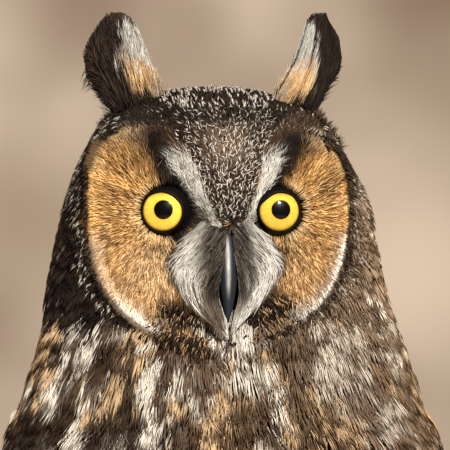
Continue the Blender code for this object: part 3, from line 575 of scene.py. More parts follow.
def stream_place(hand, across, along):
    """Place (sideways, up) in the bristles: across from 0 by the bill to 1 outside, along from 0 to 1."""
    lines = STREAMS[hand]
    a, b = np.clip(across, 0.0, 1.0) * 2.999, np.clip(along, 0.0, 1.0) * 3.999
    i, j = a.astype(int), b.astype(int)
    u, v = (a - i)[..., None], (b - j)[..., None]
    # A smooth curve through the points, from the two before and the two after each place
    before, after = np.maximum(j - 1, 0), np.minimum(j + 2, 4)
    start, first, second, last = (
        lines[i, k] * (1 - u) + lines[i + 1, k] * u for k in (before, j, j + 1, after))
    bend = (2.0 * start - 5.0 * first + 4.0 * second - last) * v
    bend = bend + (3.0 * (first - second) + last - start) * v * v
    place = first + 0.5 * v * (second - start + bend)
    return place[..., 0] + hand * np.maximum(across - 1.0, 0.0) * 14.0, place[..., 1]


def in_beard(x, up):
    """How far inside the bristles at either side of the bill."""
    best = np.full(np.shape(x), -99.0)
    for lines in STREAMS.values():
        for line, wide in zip(lines, (1.6, 2.0, 2.4, 1.4)):
            best = np.maximum(best, line_reach(x, up, np.column_stack([line, np.full(5, wide)])))
    return best


# Dark patches that slant inwards under the bristles: (sideways, up, half width)
CHIN_PATCHES = [
    np.array([(-18.5, -29.4, 2.2), (-15.0, -33.0, 5.2), (-10.8, -35.4, 4.8), (-6.8, -37.4, 3.4),
              (-3.6, -39.2, 1.8)]),
    np.array([(19.4, -28.0, 2.4), (16.0, -30.4, 5.0), (12.4, -32.6, 4.8), (8.8, -35.6, 3.8),
              (6.0, -38.4, 1.8)]),
]


def chin_patch(x, up):
    """How far inside the dark patches at both sides of the chin, in millimetres."""
    return np.maximum(*(line_reach(x, up, line) for line in CHIN_PATCHES))

# %% [markdown]
# The tone of a place on the face is built up in layers, as a painter would: the golden brown of the
# disc first, then the smoke above it, the pale rim, the wedges, the black round the eye, and the
# brows last. Each layer is mixed in by how far inside its marking the place lies, and noise frays
# every border.

# %% Tones of the face
def face_tone(x, up, luck):
    """Colour of the face at places seen from the front. luck, 0 to 1, varies it by strand."""
    spot = np.stack([x, up, 0.0 * x], axis=-1)
    patch = noise_at(spot, 5.0, 3)
    fine = noise_at(spot, 1.4, 4)
    edge = mark_edge(x, up)
    side = np.where(x < 1.0, 0, 1)
    eye_x = np.where(side == 0, IRIS[0][0], IRIS[1][0])
    eye_up = np.where(side == 0, IRIS[0][1], IRIS[1][1])
    from_eye = np.hypot(x - eye_x, up - eye_up)
    outward = np.sign(eye_x) * (x - eye_x)
    bearing = np.arctan2(up - eye_up, x - eye_x)

    def rayed(count, run, seed):
        return noise_at(np.stack([np.cos(bearing) * count, np.sin(bearing) * count, from_eye * run], axis=-1),
                        1.0, seed)

    streak, thread = rayed(9.0, 0.12, 6), rayed(26.0, 0.25, 9)
    # Golden brown disc, deeper above, pink buff below; painted deeper and less pink on the owl's left, as
    # shade
    deep = 0.14 + 0.50 * ease(up, -6.0, 16.0) + 0.5 * (patch - 0.5) + 1.1 * (streak - 0.5)
    deep = deep + 0.4 * (0.5 - luck) + 0.30 * side
    colour = blend(RUFOUS, DEEP_RUFOUS, np.clip(deep, 0, 1))
    pale = np.exp(-(((np.abs(x) - 19.0) / 12.0) ** 2) - ((up + 19.0) / 9.5) ** 2)
    pale = pale * np.where(side == 0, 1.0, 0.45) + 0.15 * (luck - 0.5) * pale
    colour = blend(colour, PINK_BUFF, np.clip(pale, 0, 1))
    sooty = (luck < 0.12) | ((streak > 0.66) & (luck < 0.5) & (up > 3.0))
    colour = blend(colour, DARK_BROWN, 0.5 * sooty * ease(up, -10.0, 2.0))
    colour = blend(colour, BUFF, 0.55 * (luck > 0.82) * (0.4 + 0.6 * ease(-up, -16.0, 0.0)))
    contrast = 0.9 + 0.6 * ease(up, 0.0, 8.0)
    colour = colour * (1.0 + contrast * (thread - 0.5) + 0.4 * (luck - 0.5))[..., None]
    # Smoky brown over the inner half of each disc's upper edge, paler at the outer corner
    floor = np.interp(np.abs(x - 1.0), [8.0, 15.5, 19.0, 24.0, 30.0, 36.0],
                      [13.0, 8.5, 10.5, 14.5, 17.5, 21.0])
    smoke = ease(up + 5.0 * (thread - 0.5) + 2.0 * (luck - 0.5), floor, floor + 5.5)
    # The smoke is painted brighter on the owl's right and darker on its left, as light and shade
    smoky = blend(tint(44, 34, 27), tint(108, 86, 66), luck ** 2) * np.where(side == 0, 1.75, 0.7)[..., None]
    colour = blend(colour, smoky, np.clip(smoke, 0, 0.94))
    corner = ease(edge, -4.0, -1.5) * ease(up, 8.0, 16.0)
    colour = blend(colour, tint(190, 166, 132), corner * ease(np.abs(x), 22.0, 28.0) * 0.6 * (luck > 0.4))
    # White outer and lower edge
    low = 1.0 - ease(up, -11.0, -5.0)
    wide = 0.8 + 0.4 * ease(-up, 8.0, 18.0) + 1.1 * ease(-up, 24.0, 31.0)
    across = ease(np.abs(x - 0.5), 18.0, 22.0)
    rim = ease(edge + 1.4 * (fine - 0.5) + 1.8 * (thread - 0.5), -wide - 0.5, -wide + 0.4) * low * across
    shaded = np.where(side == 0, 1.0 - 0.55 * ease(up, -31.0, -25.0), 1.0)
    colour = blend(colour, tint(240, 239, 236), np.clip(rim * (0.7 + 0.4 * luck) * shaded, 0, 1))
    # Dark wedge and black round the eye
    for line in WEDGES:
        inside = line_reach(x, up, line)
        dark = ease(inside + 2.0 * (fine - 0.5) + 1.2 * (luck - 0.5), -2.2, 1.0)
        colour = blend(colour, BLACK_BROWN, dark * 0.96)
    inner = ease(-outward, -3.0, 4.0)
    upper = ease(up - eye_up, -3.0, 5.0)
    reach = 6.5 + 4.0 * inner + 1.4 * upper * (1.0 - 0.1 * inner) - np.where(side == 1, 3.0 * inner, 0.0)
    ring = 1.0 - ease(from_eye + 0.8 * (fine - 0.5), reach - 1.0, reach + 0.9)
    colour = blend(colour, tint(20, 16, 15), ring)
    cheek = np.exp(-(((outward - 1.2) / 3.4) ** 2) - ((up + 11.8) / 1.7) ** 2)
    colour = blend(colour, BLACK_BROWN, np.clip(1.1 * cheek * (0.35 + 0.8 * (luck < 0.6)), 0, 0.85))
    glow = np.exp(-(((from_eye - 8.8) / 1.2) ** 2)) * ease(outward, 0.0, 5.0)
    colour = blend(colour, BUFF, np.clip(glow * 0.6, 0, 1))
    by_bill = (1.0 - ease(np.abs(x - 1.8), 8.6, 11.0)) * ease(up, -10.0, -7.5) * (1.0 - ease(up, 3.0, 6.0))
    colour = blend(colour, blend(BLACK_BROWN, tint(112, 98, 84), luck ** 2), by_bill)
    # Under the bristles: black by the bill and grey brown outwards
    lore = ease(in_beard(x, up), 0.2, 1.6)
    grey = blend(BLACK_BROWN, tint(110, 98, 86), ease(np.abs(x - 1.5), 6.0, 14.0) * (0.3 + 0.6 * luck))
    colour = blend(colour, grey, lore)
    # Dark speckled patches on both sides of the chin
    speck = np.where(luck > 0.93, 0.0, np.where(luck > 0.82, 0.8, 1.0))
    mottle = blend(tint(200, 172, 136), tint(34, 25, 20), speck)
    colour = blend(colour, mottle, ease(chin_patch(x, up) + 1.6 * (fine - 0.5), -0.6, 0.6))
    # Forehead
    inside = forehead_reach(x, up) + 0.8 * (fine - 0.5)
    tone = blend(tint(20, 15, 13), tint(58, 44, 35), luck)
    middle = np.exp(-(((x - 0.5) / 6.5) ** 2) - ((up - 20.0) / 6.0) ** 2)
    tone = blend(tone, tint(140, 116, 98), np.clip(middle * 0.8 * (luck > 0.2), 0, 1))
    colour = blend(colour, tone, ease(inside, -0.4, 0.7))
    between = ease(inside, -3.4, -2.0) * (inside < 0.0) * ease(up, 3.0, 9.0) * (1.0 - ease(up, 15.0, 18.0))
    colour = blend(colour, blend(tint(84, 64, 48), tint(140, 110, 80), luck ** 2), between * 0.9)
    border = np.exp(-((inside / 0.55) ** 2)) * (1.0 - ease(up, 13.0, 19.0))
    colour = blend(colour, tint(122, 98, 74), np.clip(border * 0.6, 0, 1))
    # White brows
    for line in BROWS:
        inside = line_reach(x, up, line)
        white = ease(inside + 0.8 * (luck - 0.5), -0.3, 0.7) * (1.0 - ease(up, 16.6, 18.2))
        tone = blend(GREY, WHITE, np.clip(0.2 + luck, 0, 1))
        tone = np.where(((luck < 0.16) & (inside < 2.2))[..., None], BLACK_BROWN, tone)
        colour = blend(colour, tone, white)
    tan = np.exp(-(((np.abs(x - 2.0) - 2.6) / 2.2) ** 2) - ((up + 5.0) / 1.4) ** 2)
    colour = blend(colour, tint(178, 142, 100), np.clip(tan * 0.8 * (luck > 0.45), 0, 0.8))
    root = np.exp(-(((x - 2.0) / 2.6) ** 2) - ((up + 7.6) / 2.4) ** 2)
    return blend(colour, blend(BLACK_BROWN, tint(110, 98, 86), luck ** 2), np.clip(root * 1.3, 0, 0.95))

# %% Tones of the rest of the head
def head_side_tone(points, luck):
    """Colour of the crown, the nape and the sides of the head and neck, under their pale flecks, with painted
    sunlight on the owl's left side.
    """
    patch = noise_at(points, 9.0, 11)
    up = points[..., 2] - EYE_Z
    behind = ease(points[..., 1], -18.0, 14.0)
    colour = blend(tint(24, 18, 15), tint(54, 42, 34), np.clip(luck * 0.9 + 0.3 * (patch - 0.5), 0, 1))
    # light is the paler tone painted on the owl's left side of the head and neck, as sunlight
    light = blend(tint(92, 75, 61), tint(178, 154, 130), np.clip(luck * 0.8 + 0.9 * (patch - 0.4), 0, 1))
    painted_sunlit_side = ease(points[..., 0], 6.0, 34.0) * ease(-up, -34.0, 2.0) * (1.0 - behind)
    colour = blend(colour, light, painted_sunlit_side * 0.9)
    warm = behind * (1.0 - ease(up, 12.0, 30.0)) * np.clip(luck * 1.4 - 0.35, 0, 1)
    return blend(colour, TAWNY, np.clip(warm * 0.6, 0, 1))


print("brow marks:", len(BROWS), "dark wedges:", len(WEDGES))

# %% [markdown]
# The skin is one piece under all the feathers: a closed form from the crown to the root of the tail,
# and closed tubes for the feathered legs and toes. It lies a few millimetres inside the solids,
# because the coat fills the rest. For the body we take a sphere and move each of its points.

# %% Skin
def coat_depth(up):
    """How far the skin lies under the outer form."""
    return 0.9 + 2.3 * (1.0 - ease(up, -62.0, -30.0))


def skin_colours(points):
    up = points[:, 2] - EYE_Z
    luck = noise_at(points, 1.4, 5)
    x = points[:, 0] - FACE_MIDDLE
    face = (points[:, 1] < -8.0) & (mark_edge(x, up) < 0.0)
    colour = np.where(face[:, None], face_tone(x, up, luck), head_side_tone(points, luck))
    # The skin shows only between the feathers, so it is painted darker, as shade: towards the breast's dark
    # tone low down, and to 0.62 of its tone all over
    lower = 1.0 - ease(up, -58.0, -44.0)
    colour = blend(colour, BREAST_DARK, lower)
    return colour * 0.62

# %% Legs and toes as tubes
LEG_X = 23.0
PERCH_RADIUS = 12.5
PERCH_AXIS = PERCH_TOP - PERCH_RADIUS
LEG_PATH = np.array([(4.0, 64.0, 13.5), (4.0, 60.0, 14.0), (0.0, 44.0, 13.0), (-1.0, 28.0, 10.0),
                     (0.0, 14.0, 7.2), (0.0, 6.0, 6.4), (0.0, 3.4, 4.5)])
TOE_RADIUS, TOE_GAP = 4.0, 0.45
TOES = [
    ("inner", -1.0, -2.5, -8.0, 74.0),
    ("middle", -1.0, 3.0, 4.5, 84.0),
    ("outer", 1.0, 4.0, 9.0, 70.0),
    ("hind", 1.0, -2.5, -4.0, 62.0),
]


def round_perch(x, way, angle, radius):
    """Points round the perch, with room for a toe or claw of that radius."""
    reach = PERCH_RADIUS + TOE_GAP + radius
    a = np.radians(angle)
    return np.stack(np.broadcast_arrays(x, way * reach * np.sin(a), PERCH_AXIS + reach * np.cos(a)), axis=-1)


def toe_line(hand, toe, t):
    """Middle and radius of a toe at shares t of its length."""
    way, start, end, last = toe[1:]
    radius = TOE_RADIUS * (1.0 - 0.28 * t + 0.10 * np.sin(3.0 * np.pi * t))
    x = hand * (LEG_X + start + (end - start) * t)
    return round_perch(x, way, 4.0 + (last - 4.0) * t, radius), radius


def leg_line(hand):
    """Middles and radii of a leg, from the belly down."""
    t = np.linspace(0.0, 1.0, 24)
    path = np.stack([np.interp(t * 6, range(7), LEG_PATH[:, k]) for k in range(3)], axis=-1)
    return np.stack([0 * t + hand * LEG_X, path[:, 0], PERCH_TOP + path[:, 1]], axis=-1), path[:, 2]


def tube_rings(middles, radii, sides):
    """Rings of points round a line."""
    along = unit(np.gradient(middles, axis=0))
    guide = np.array([0.0, 1.0, 0.0]) if abs(along[0, 1]) < 0.9 else np.array([1.0, 0.0, 0.0])
    u = unit(np.cross(along, guide))
    v = np.cross(along, u)
    a = np.linspace(0.0, 2.0 * np.pi, sides, endpoint=False)
    out = u[:, None] * np.cos(a)[None, :, None] + v[:, None] * np.sin(a)[None, :, None]
    return middles[:, None] + out * np.asarray(radii)[:, None, None]


def tube_sides(rings, sides):
    """Triangles between the neighbouring rings of a tube."""
    faces = []
    for i in range(rings - 1):
        for j in range(sides):
            a, b = i * sides + j, i * sides + (j + 1) % sides
            faces += [(a, b, b + sides), (a, b + sides, a + sides)]
    return faces


def ring_triangles(rings, sides):
    """Triangles of a tube whose two ends are closed by a middle point each, put last."""
    faces = tube_sides(rings, sides)
    first, last = rings * sides, rings * sides + 1
    for j in range(sides):
        k = (j + 1) % sides
        faces += [(first, k, j), (last, (rings - 1) * sides + j, (rings - 1) * sides + k)]
    return faces


def tube_arrays(middles, radii, sides):
    rings = tube_rings(middles, radii, sides)
    points = np.concatenate([rings.reshape(-1, 3), middles[:1], middles[-1:]])
    return points, np.array(ring_triangles(len(middles), sides))


def facing_out(points, triangles):
    """The triangles turned so that the closed mesh has a positive volume."""
    a, b, c = (points[triangles[:, k]] for k in range(3))
    volume = np.einsum("ij,ij->i", a, np.cross(b, c)).sum()
    return triangles if volume > 0 else triangles[:, ::-1]

# %% The skin's mesh
def body_skin():
    shape = bmesh.new()
    bmesh.ops.create_uvsphere(shape, u_segments=128, v_segments=120, radius=1.0)
    bmesh.ops.triangulate(shape, faces=shape.faces)
    shape.verts.ensure_lookup_table()
    at = np.array([v.co for v in shape.verts])
    triangles = np.array([[v.index for v in f.verts] for f in shape.faces])
    shape.free()
    angle = np.degrees(np.arctan2(at[:, 0], -at[:, 1]))
    share = np.arccos(np.clip(at[:, 2], -1.0, 1.0)) / np.pi
    level = share * (len(TRUNK) - 1)
    normal = body_basis(TRUNK, angle, np.clip(level, 0.06, len(TRUNK) - 1.06))[2]
    outer = body_point(TRUNK, angle, level)
    depth = coat_depth(outer[:, 2] - EYE_Z)
    fade = ease(level, 0.0, 0.8) * (1.0 - ease(level, len(TRUNK) - 2.4, len(TRUNK) - 1.2))
    points = outer - normal * (depth * fade)[:, None]
    points = points - np.array([0.0, 0.0, 1.0]) * (depth * (1 - fade))[:, None]
    for hand in (-1.0, 1.0):
        # A socket round each eye, so the ball sits in the head
        distance = np.linalg.norm(points - on_head(hand * EYE_X, EYE_DEPTH, 0.0), axis=1)
        near = (distance < 11.0) & (points[:, 1] < -20.0)
        points[near, 1] += EYE_RADIUS * (1.0 - ease(distance[near], 6.5, 11.0))
    return points, facing_out(points, triangles), unroll(TRUNK, angle, level)


skin_parts = [body_skin()]
for hand in (-1.0, 1.0):
    middles, radius = leg_line(hand)
    p, tri = tube_arrays(middles, radius - 1.6, 24)
    skin_parts.append((p, facing_out(p, tri), np.tile([0.01, 0.5], (len(p), 1))))
    for toe in TOES:
        t = np.linspace(0.0, 1.0, 22)
        middles, radius = toe_line(hand, toe, t)
        radius = (radius - 0.45) * np.sqrt(np.clip(1.0 - ((t - 0.5) / 0.52) ** 8, 0.05, 1.0))
        p, tri = tube_arrays(middles, radius, 16)
        skin_parts.append((p, facing_out(p, tri), np.tile([0.01, 0.5], (len(p), 1))))

points, triangles, tones, places = join_arrays([(p, tri, skin_colours(p), uv) for p, tri, uv in skin_parts])
leg_part = np.arange(len(points)) >= len(skin_parts[0][0])
tones[leg_part] = blend(tint(150, 112, 72), tint(196, 158, 108), noise_at(points[leg_part], 2.5, 8))
dress(new_mesh("skin", points, triangles, tones, places), SKIN, "plumage_body",
      "head", "neck", "torso", "leg_right", "leg_left", "foot_right", "foot_left")
print("skin:", len(triangles), "triangles")

# %% [markdown]
# Each half of the facial disc is a dish of fine, hair-like feathers that run out from the eye. They
# are short by the eye and longer towards the rim. We scatter the roots, give each strand the
# direction of the marking it stands in, and let it lean forward a little, so light catches its tip.

# %% Strands of the face
def lie_of_face(x, up):
    """Direction in which the feathers lie, as a unit vector (sideways, up)."""
    eye_x = np.where(x < 1.0, IRIS[0][0], IRIS[1][0])
    radial = unit(np.stack([x - eye_x, up], axis=-1))
    # Over the forehead and along the brows they lie up and outwards
    hand = np.where(x < 1.8, -1.0, 1.0)
    fan = unit(np.stack([hand * (0.10 + 0.055 * np.abs(x - 1.8)), np.ones_like(x)], axis=-1))
    brow = np.maximum(line_reach(x, up, BROWS[0]), line_reach(x, up, BROWS[1]))
    share = np.maximum(ease(forehead_reach(x, up), -1.5, 0.5), ease(brow, -1.5, 0.3))
    # Below the eye's inner corner they lie down along the bill
    below = ease(-up, 0.0, 7.0) * (1.0 - ease(np.abs(x - 1.5), 9.0, 16.0))
    drop = unit(np.stack([hand * 0.5, -np.ones_like(x)], axis=-1))
    lie = radial * (1.0 - share)[..., None] + fan * share[..., None]
    lie = lie * (1.0 - below)[..., None] + drop * below[..., None]
    return unit(lie)


def ahead_of_face(x, up):
    """The way out of the face at a place, as a unit vector."""
    return unit(face_point(x, up, 1.0 + 0 * x) - face_point(x, up, 0 * x))


def face_strands(x, up, length, half, lift, tone, tip_tone, wobble=0.12, stations=3, late=1.5,
                 lie=None, root_shade=0.62, bend=0.16):
    """Strands laid over the face from the roots (x, up)."""
    lie = lie_of_face(x, up) if lie is None else lie
    turn = draw.normal(0.0, wobble, len(x))
    c, s = np.cos(turn), np.sin(turn)
    lie = np.stack([lie[:, 0] * c - lie[:, 1] * s, lie[:, 0] * s + lie[:, 1] * c], axis=-1)
    curl = draw.normal(0.0, bend, len(x))
    t = np.linspace(0.0, 1.0, stations)[None]
    reach = length[:, None] * t
    px = x[:, None] + lie[:, :1] * reach - lie[:, 1:] * curl[:, None] * reach * t
    pu = up[:, None] + lie[:, 1:] * reach + lie[:, :1] * curl[:, None] * reach * t
    rise = -0.9 + (0.9 + lift[:, None]) * np.sin(np.minimum(t * 1.25, 1.0) * np.pi / 2)
    path = face_point(px, pu, rise)
    width = half[:, None] * (0.82 + 0.6 * t - 1.2 * t ** 3)
    shade = root_shade + (1.08 - root_shade) * t[..., None] ** 0.8
    turning = t[..., None] ** late
    colour = (tone[:, None] * (1 - turning) + tip_tone[:, None] * turning) * shade
    return strand_arrays(path, ahead_of_face(x, up), width, colour, unroll_face(x, up))


def clear_of_eyes(x, up, room):
    d = [np.hypot(x - IRIS[k][0], up - IRIS[k][1]) for k in (0, 1)]
    return np.minimum(*d) > room


def clear_of_bill(x, up):
    half = np.interp(up, [-33.0, -28.0, -18.0, -11.0, -6.0], [0.4, 1.9, 3.2, 3.6, 0.0])
    return (np.abs(x - 1.0) > half) | (up > -6.0) | (up < -33.0)

# %% The two discs
x, up = draw.uniform((-42.0, -42.0), (42.0, 30.0), (47000, 2)).T
keep = clear_of_eyes(x, up, 6.85) & clear_of_bill(x, up)
keep &= (mark_edge(x, up) < -0.7 - 2.2 * ease(up, 4.0, 18.0)) & (in_beard(x, up) < 0.6)
keep &= (forehead_reach(x, up) < 0.8) & ((up > -34.0) | (np.abs(x - 1.0) > 19.0))
toward = lie_of_face(x, up) * 6.5
keep &= (chin_patch(x + toward[:, 0], up + toward[:, 1]) < 0.3) | (draw.random(len(x)) < 0.05)
x, up = x[keep], up[keep]
luck = draw.random(len(x))
from_eye = np.minimum(np.hypot(x - IRIS[0][0], up), np.hypot(x - IRIS[1][0], up))
length = 3.2 + (6.0 - 2.2 * ease(up, 6.0, 16.0)) * ease(from_eye, 7.0, 17.0) + draw.normal(0.0, 0.6, len(x))
length = np.minimum(length, 1.6 + 1.25 * np.maximum(-mark_edge(x, up), 0.0))
toward = lie_of_face(x, up)
tone = face_tone(x + toward[:, 0] * 1.8, up + toward[:, 1] * 1.8, luck)
tip_luck = np.clip(luck + 0.2, 0, 1)
tip_tone = face_tone(x + toward[:, 0] * length * 0.8, up + toward[:, 1] * length * 0.8, tip_luck)
tip_tone = blend(tone, tip_tone, 0.75 + 0 * x) * 1.08
lift = 0.2 + 0.9 * draw.random(len(x)) ** 1.5
half = 0.11 + 0.07 * draw.random(len(x))
for name, part in (("face_right", x < 1.0), ("face_left", x >= 1.0)):
    arrays = face_strands(x[part], up[part], length[part], half[part], lift[part], tone[part], tip_tone[part],
                          wobble=0.15, root_shade=0.76, late=0.9)
    coat_piece(name, arrays, DOWN, slot="plumage_head")

# %% [markdown]
# The forehead is dark, with fine white flecks. Smoky brown feathers lie between it and the discs. A
# fleck is the pale end of a small dark feather, so we lay a dense dark pile first, then set single
# pale-tipped strands into it a little higher.

# %% Forehead and brows
x, up = draw.uniform((-24.0, -7.0), (26.0, 33.0), (14500, 2)).T
keep = (forehead_reach(x, up) > -0.3) & (disc_edge(x, up) < 9.0)
x, up = x[keep], up[keep]
luck = draw.random(len(x))
toward = lie_of_face(x, up)
tone = face_tone(x + toward[:, 0] * 2.2, up + toward[:, 1] * 2.2, luck * 0.6)
groups = [face_strands(x, up, 2.2 + 1.0 * luck, 0.17 + 0.05 * luck, 0.2 + 0.4 * luck, tone, tone * 1.15,
                       0.14)]

# %% Smoky band above the discs
bx, bu = draw.uniform((-36.5, 15.0), (36.0, 34.0), (13000, 2)).T
half_here = np.interp(-bu, -FRONT_UP, FRONT_ROWS[1])
keep = (mark_edge(bx, bu) > -4.6 + 4.2 * ease(np.abs(bx), 19.0, 26.0)) & (np.abs(bx) < half_here * 0.97)
keep &= forehead_reach(bx, bu) < 0.4
bx, bu = bx[keep], bu[keep]
bluck = draw.random(len(bx))
out = np.clip(bx / 30.0, -1.0, 1.0) * 0.55
lie = unit(np.stack([out, np.ones_like(bx)], axis=-1))
smoky = blend(tint(18, 14, 12), tint(64, 50, 40), bluck ** 1.5)
corner_light = ease(-np.abs(mark_edge(bx, bu) + 0.6), -1.4, -0.4) * ease(np.abs(bx), 24.0, 29.0)
smoky = blend(smoky, tint(176, 160, 138), corner_light * 0.6 * (bluck > 0.4))
# Painted light and shade: the band is brighter low on the owl's right and high on its left, darker elsewhere
strength = np.where(bx < 0.0, 2.3 - 1.7 * ease(bu, 19.0, 25.0), 0.65 + 1.4 * ease(bu, 18.0, 25.0))
smoky = smoky * strength[:, None]
tips = np.where((draw.random(len(bx)) < 0.07)[:, None], tint(180, 160, 136), smoky * 1.1)
groups.append(face_strands(bx, bu, 3.2 + 1.6 * bluck, 0.13 + 0.05 * bluck, 0.3 + 0.6 * bluck, smoky, tips,
                           0.28, lie=lie))

# %% Flecks of the forehead
# White ones stand in jittered rows, and single duller ones lie between them
rows, columns = np.meshgrid(np.arange(-6.0, 32.0, 0.80), np.arange(-24.0, 26.0, 0.86), indexing="ij")
x = (columns + 0.43 * (np.arange(rows.shape[0]) % 2)[:, None]).ravel() + draw.normal(0.0, 0.30, rows.size)
up = rows.ravel() + draw.normal(0.0, 0.26, rows.size)
crowd = noise_at(np.stack([x, up, 0 * x], -1), 2.2, 23)
keep = (forehead_reach(x, up) > 0.5) & (disc_edge(x, up) < 9.0)
corners = ease(np.abs(x - 1.0), 11.0, 16.0) * ease(up, 16.0, 21.0)
chance = (0.30 + 0.75 * crowd) * (1.0 - 0.8 * corners) * (1.0 - 0.3 * ease(up, 26.0, 30.0))
keep &= draw.random(len(x)) < chance
x, up = x[keep], up[keep]
luck = draw.random(len(x))
dark = face_tone(x, up, luck * 0.4)
fleck = blend(tint(246, 244, 240), tint(206, 184, 156), 0.6 * draw.random(len(x)))
fleck = fleck * ((0.5 + 0.7 * luck) * (1.0 - 0.2 * ease(up, 22.0, 27.0)))[:, None]
groups.append(face_strands(x, up, 1.5 + 1.0 * luck, 0.12 + 0.08 * draw.random(len(x)), 0.7 + 0.5 * luck,
                           dark, fleck, 0.50, late=0.7, bend=0.30))
x, up = x + draw.normal(0.0, 0.5, len(x)), up + draw.normal(0.0, 0.5, len(x))
dull = blend(tint(84, 72, 62), tint(150, 136, 120), draw.random(len(x)))
groups.append(face_strands(x, up, 1.2 + 0.8 * luck, 0.10 + 0.05 * luck, 0.5 + 0.4 * luck, dark, dull, 0.8,
                           late=0.7))

# %% [markdown]
# The brows are white plumes, longer and finer than the feathers beside them, that sweep up from the
# root of the bill. Each root is set on the brow's own line and moved across it by chance, so that
# the brow keeps its width and has no hard edge.

# %% White brows
for line, hand in zip(BROWS, (-1.0, 1.0)):
    n = 2300
    steps = (len(line) - 1) * draw.random(n) ** 1.15
    spread = draw.uniform(-1.0, 1.0, n)
    x, up, wide = (np.interp(steps, range(len(line)), line[:, k]) for k in range(3))
    ahead_x, ahead_up = (
        np.interp(np.maximum(steps - 0.4, 0), range(len(line)), line[:, k]) for k in range(2))
    run = unit(np.stack([ahead_x - x, ahead_up - up + 1e-3], axis=-1))
    luck = draw.random(n)
    long = 2.6 + 1.8 * luck
    x, up = x + run[:, 1] * spread * wide * 0.95, up - run[:, 0] * spread * wide * 0.95
    # Each plume is centred on its place, and none rises over the brow's upper end
    x, up = x - run[:, 0] * long * 0.5, up - run[:, 1] * long * 0.5
    room = 18.2 - 0.12 * np.abs(x) + 1.2 * (draw.random(n) - 0.5) - up
    long = np.minimum(long, room / np.maximum(run[:, 1], 0.3))
    ok = clear_of_eyes(x, up, 7.1) & (long > 0.8)
    x, up, luck, long, run, spread, steps = (v[ok] for v in (x, up, luck, long, run, spread, steps))
    fine = noise_at(np.stack([spread * 3.2, steps * 1.3, 0 * x + hand * 5.0], -1), 1.0, 21)
    white = blend(tint(104, 98, 90), tint(206, 203, 197), np.clip(luck * 0.8 + 1.2 * (fine - 0.35), 0, 1))
    white[draw.random(len(x)) < 0.12] = DARK_BROWN
    white[(spread * hand < -0.8) & (luck < 0.45) & (steps > 1.2)] = tint(136, 108, 78)
    groups.append(face_strands(x, up, long, 0.10 + 0.05 * luck, 0.5 + 0.7 * luck, white * 0.85, white, 0.07,
                               lie=run, root_shade=0.8))
coat_piece("forehead_and_brows", groups, DOWN, slot="plumage_head")

# %% [markdown]
# Stiff white bristles grow from both sides of the bill and sweep out over the cheeks and down, so
# that only the ridge and the tip of the bill show. We draw four stream lines on each side, and each
# bristle follows a stream between them for a while. Near the bill they are black and grey.

# %% Bristles beside the bill
def over_bill(x, up):
    """How far forward the upper bill lies at a place, and its half width there."""
    levels = [-33.4, -28.3, -22.8, -16.3, -9.7, -5.9]
    ridge = np.interp(up, levels, [-50.9, -53.3, -54.8, -54.3, -51.0, -45.6])
    half = np.interp(up, levels, [0.35, 1.6, 2.4, 2.9, 3.3, 3.8])
    part = np.clip(np.abs(x) / half, 0.0, 1.0)
    fall = 1.0 - np.sqrt(np.clip(1.0 - part * part, 0.0, 1.0))
    return ridge + 3.4 * fall * np.minimum(half / 2.9, 1.0), half


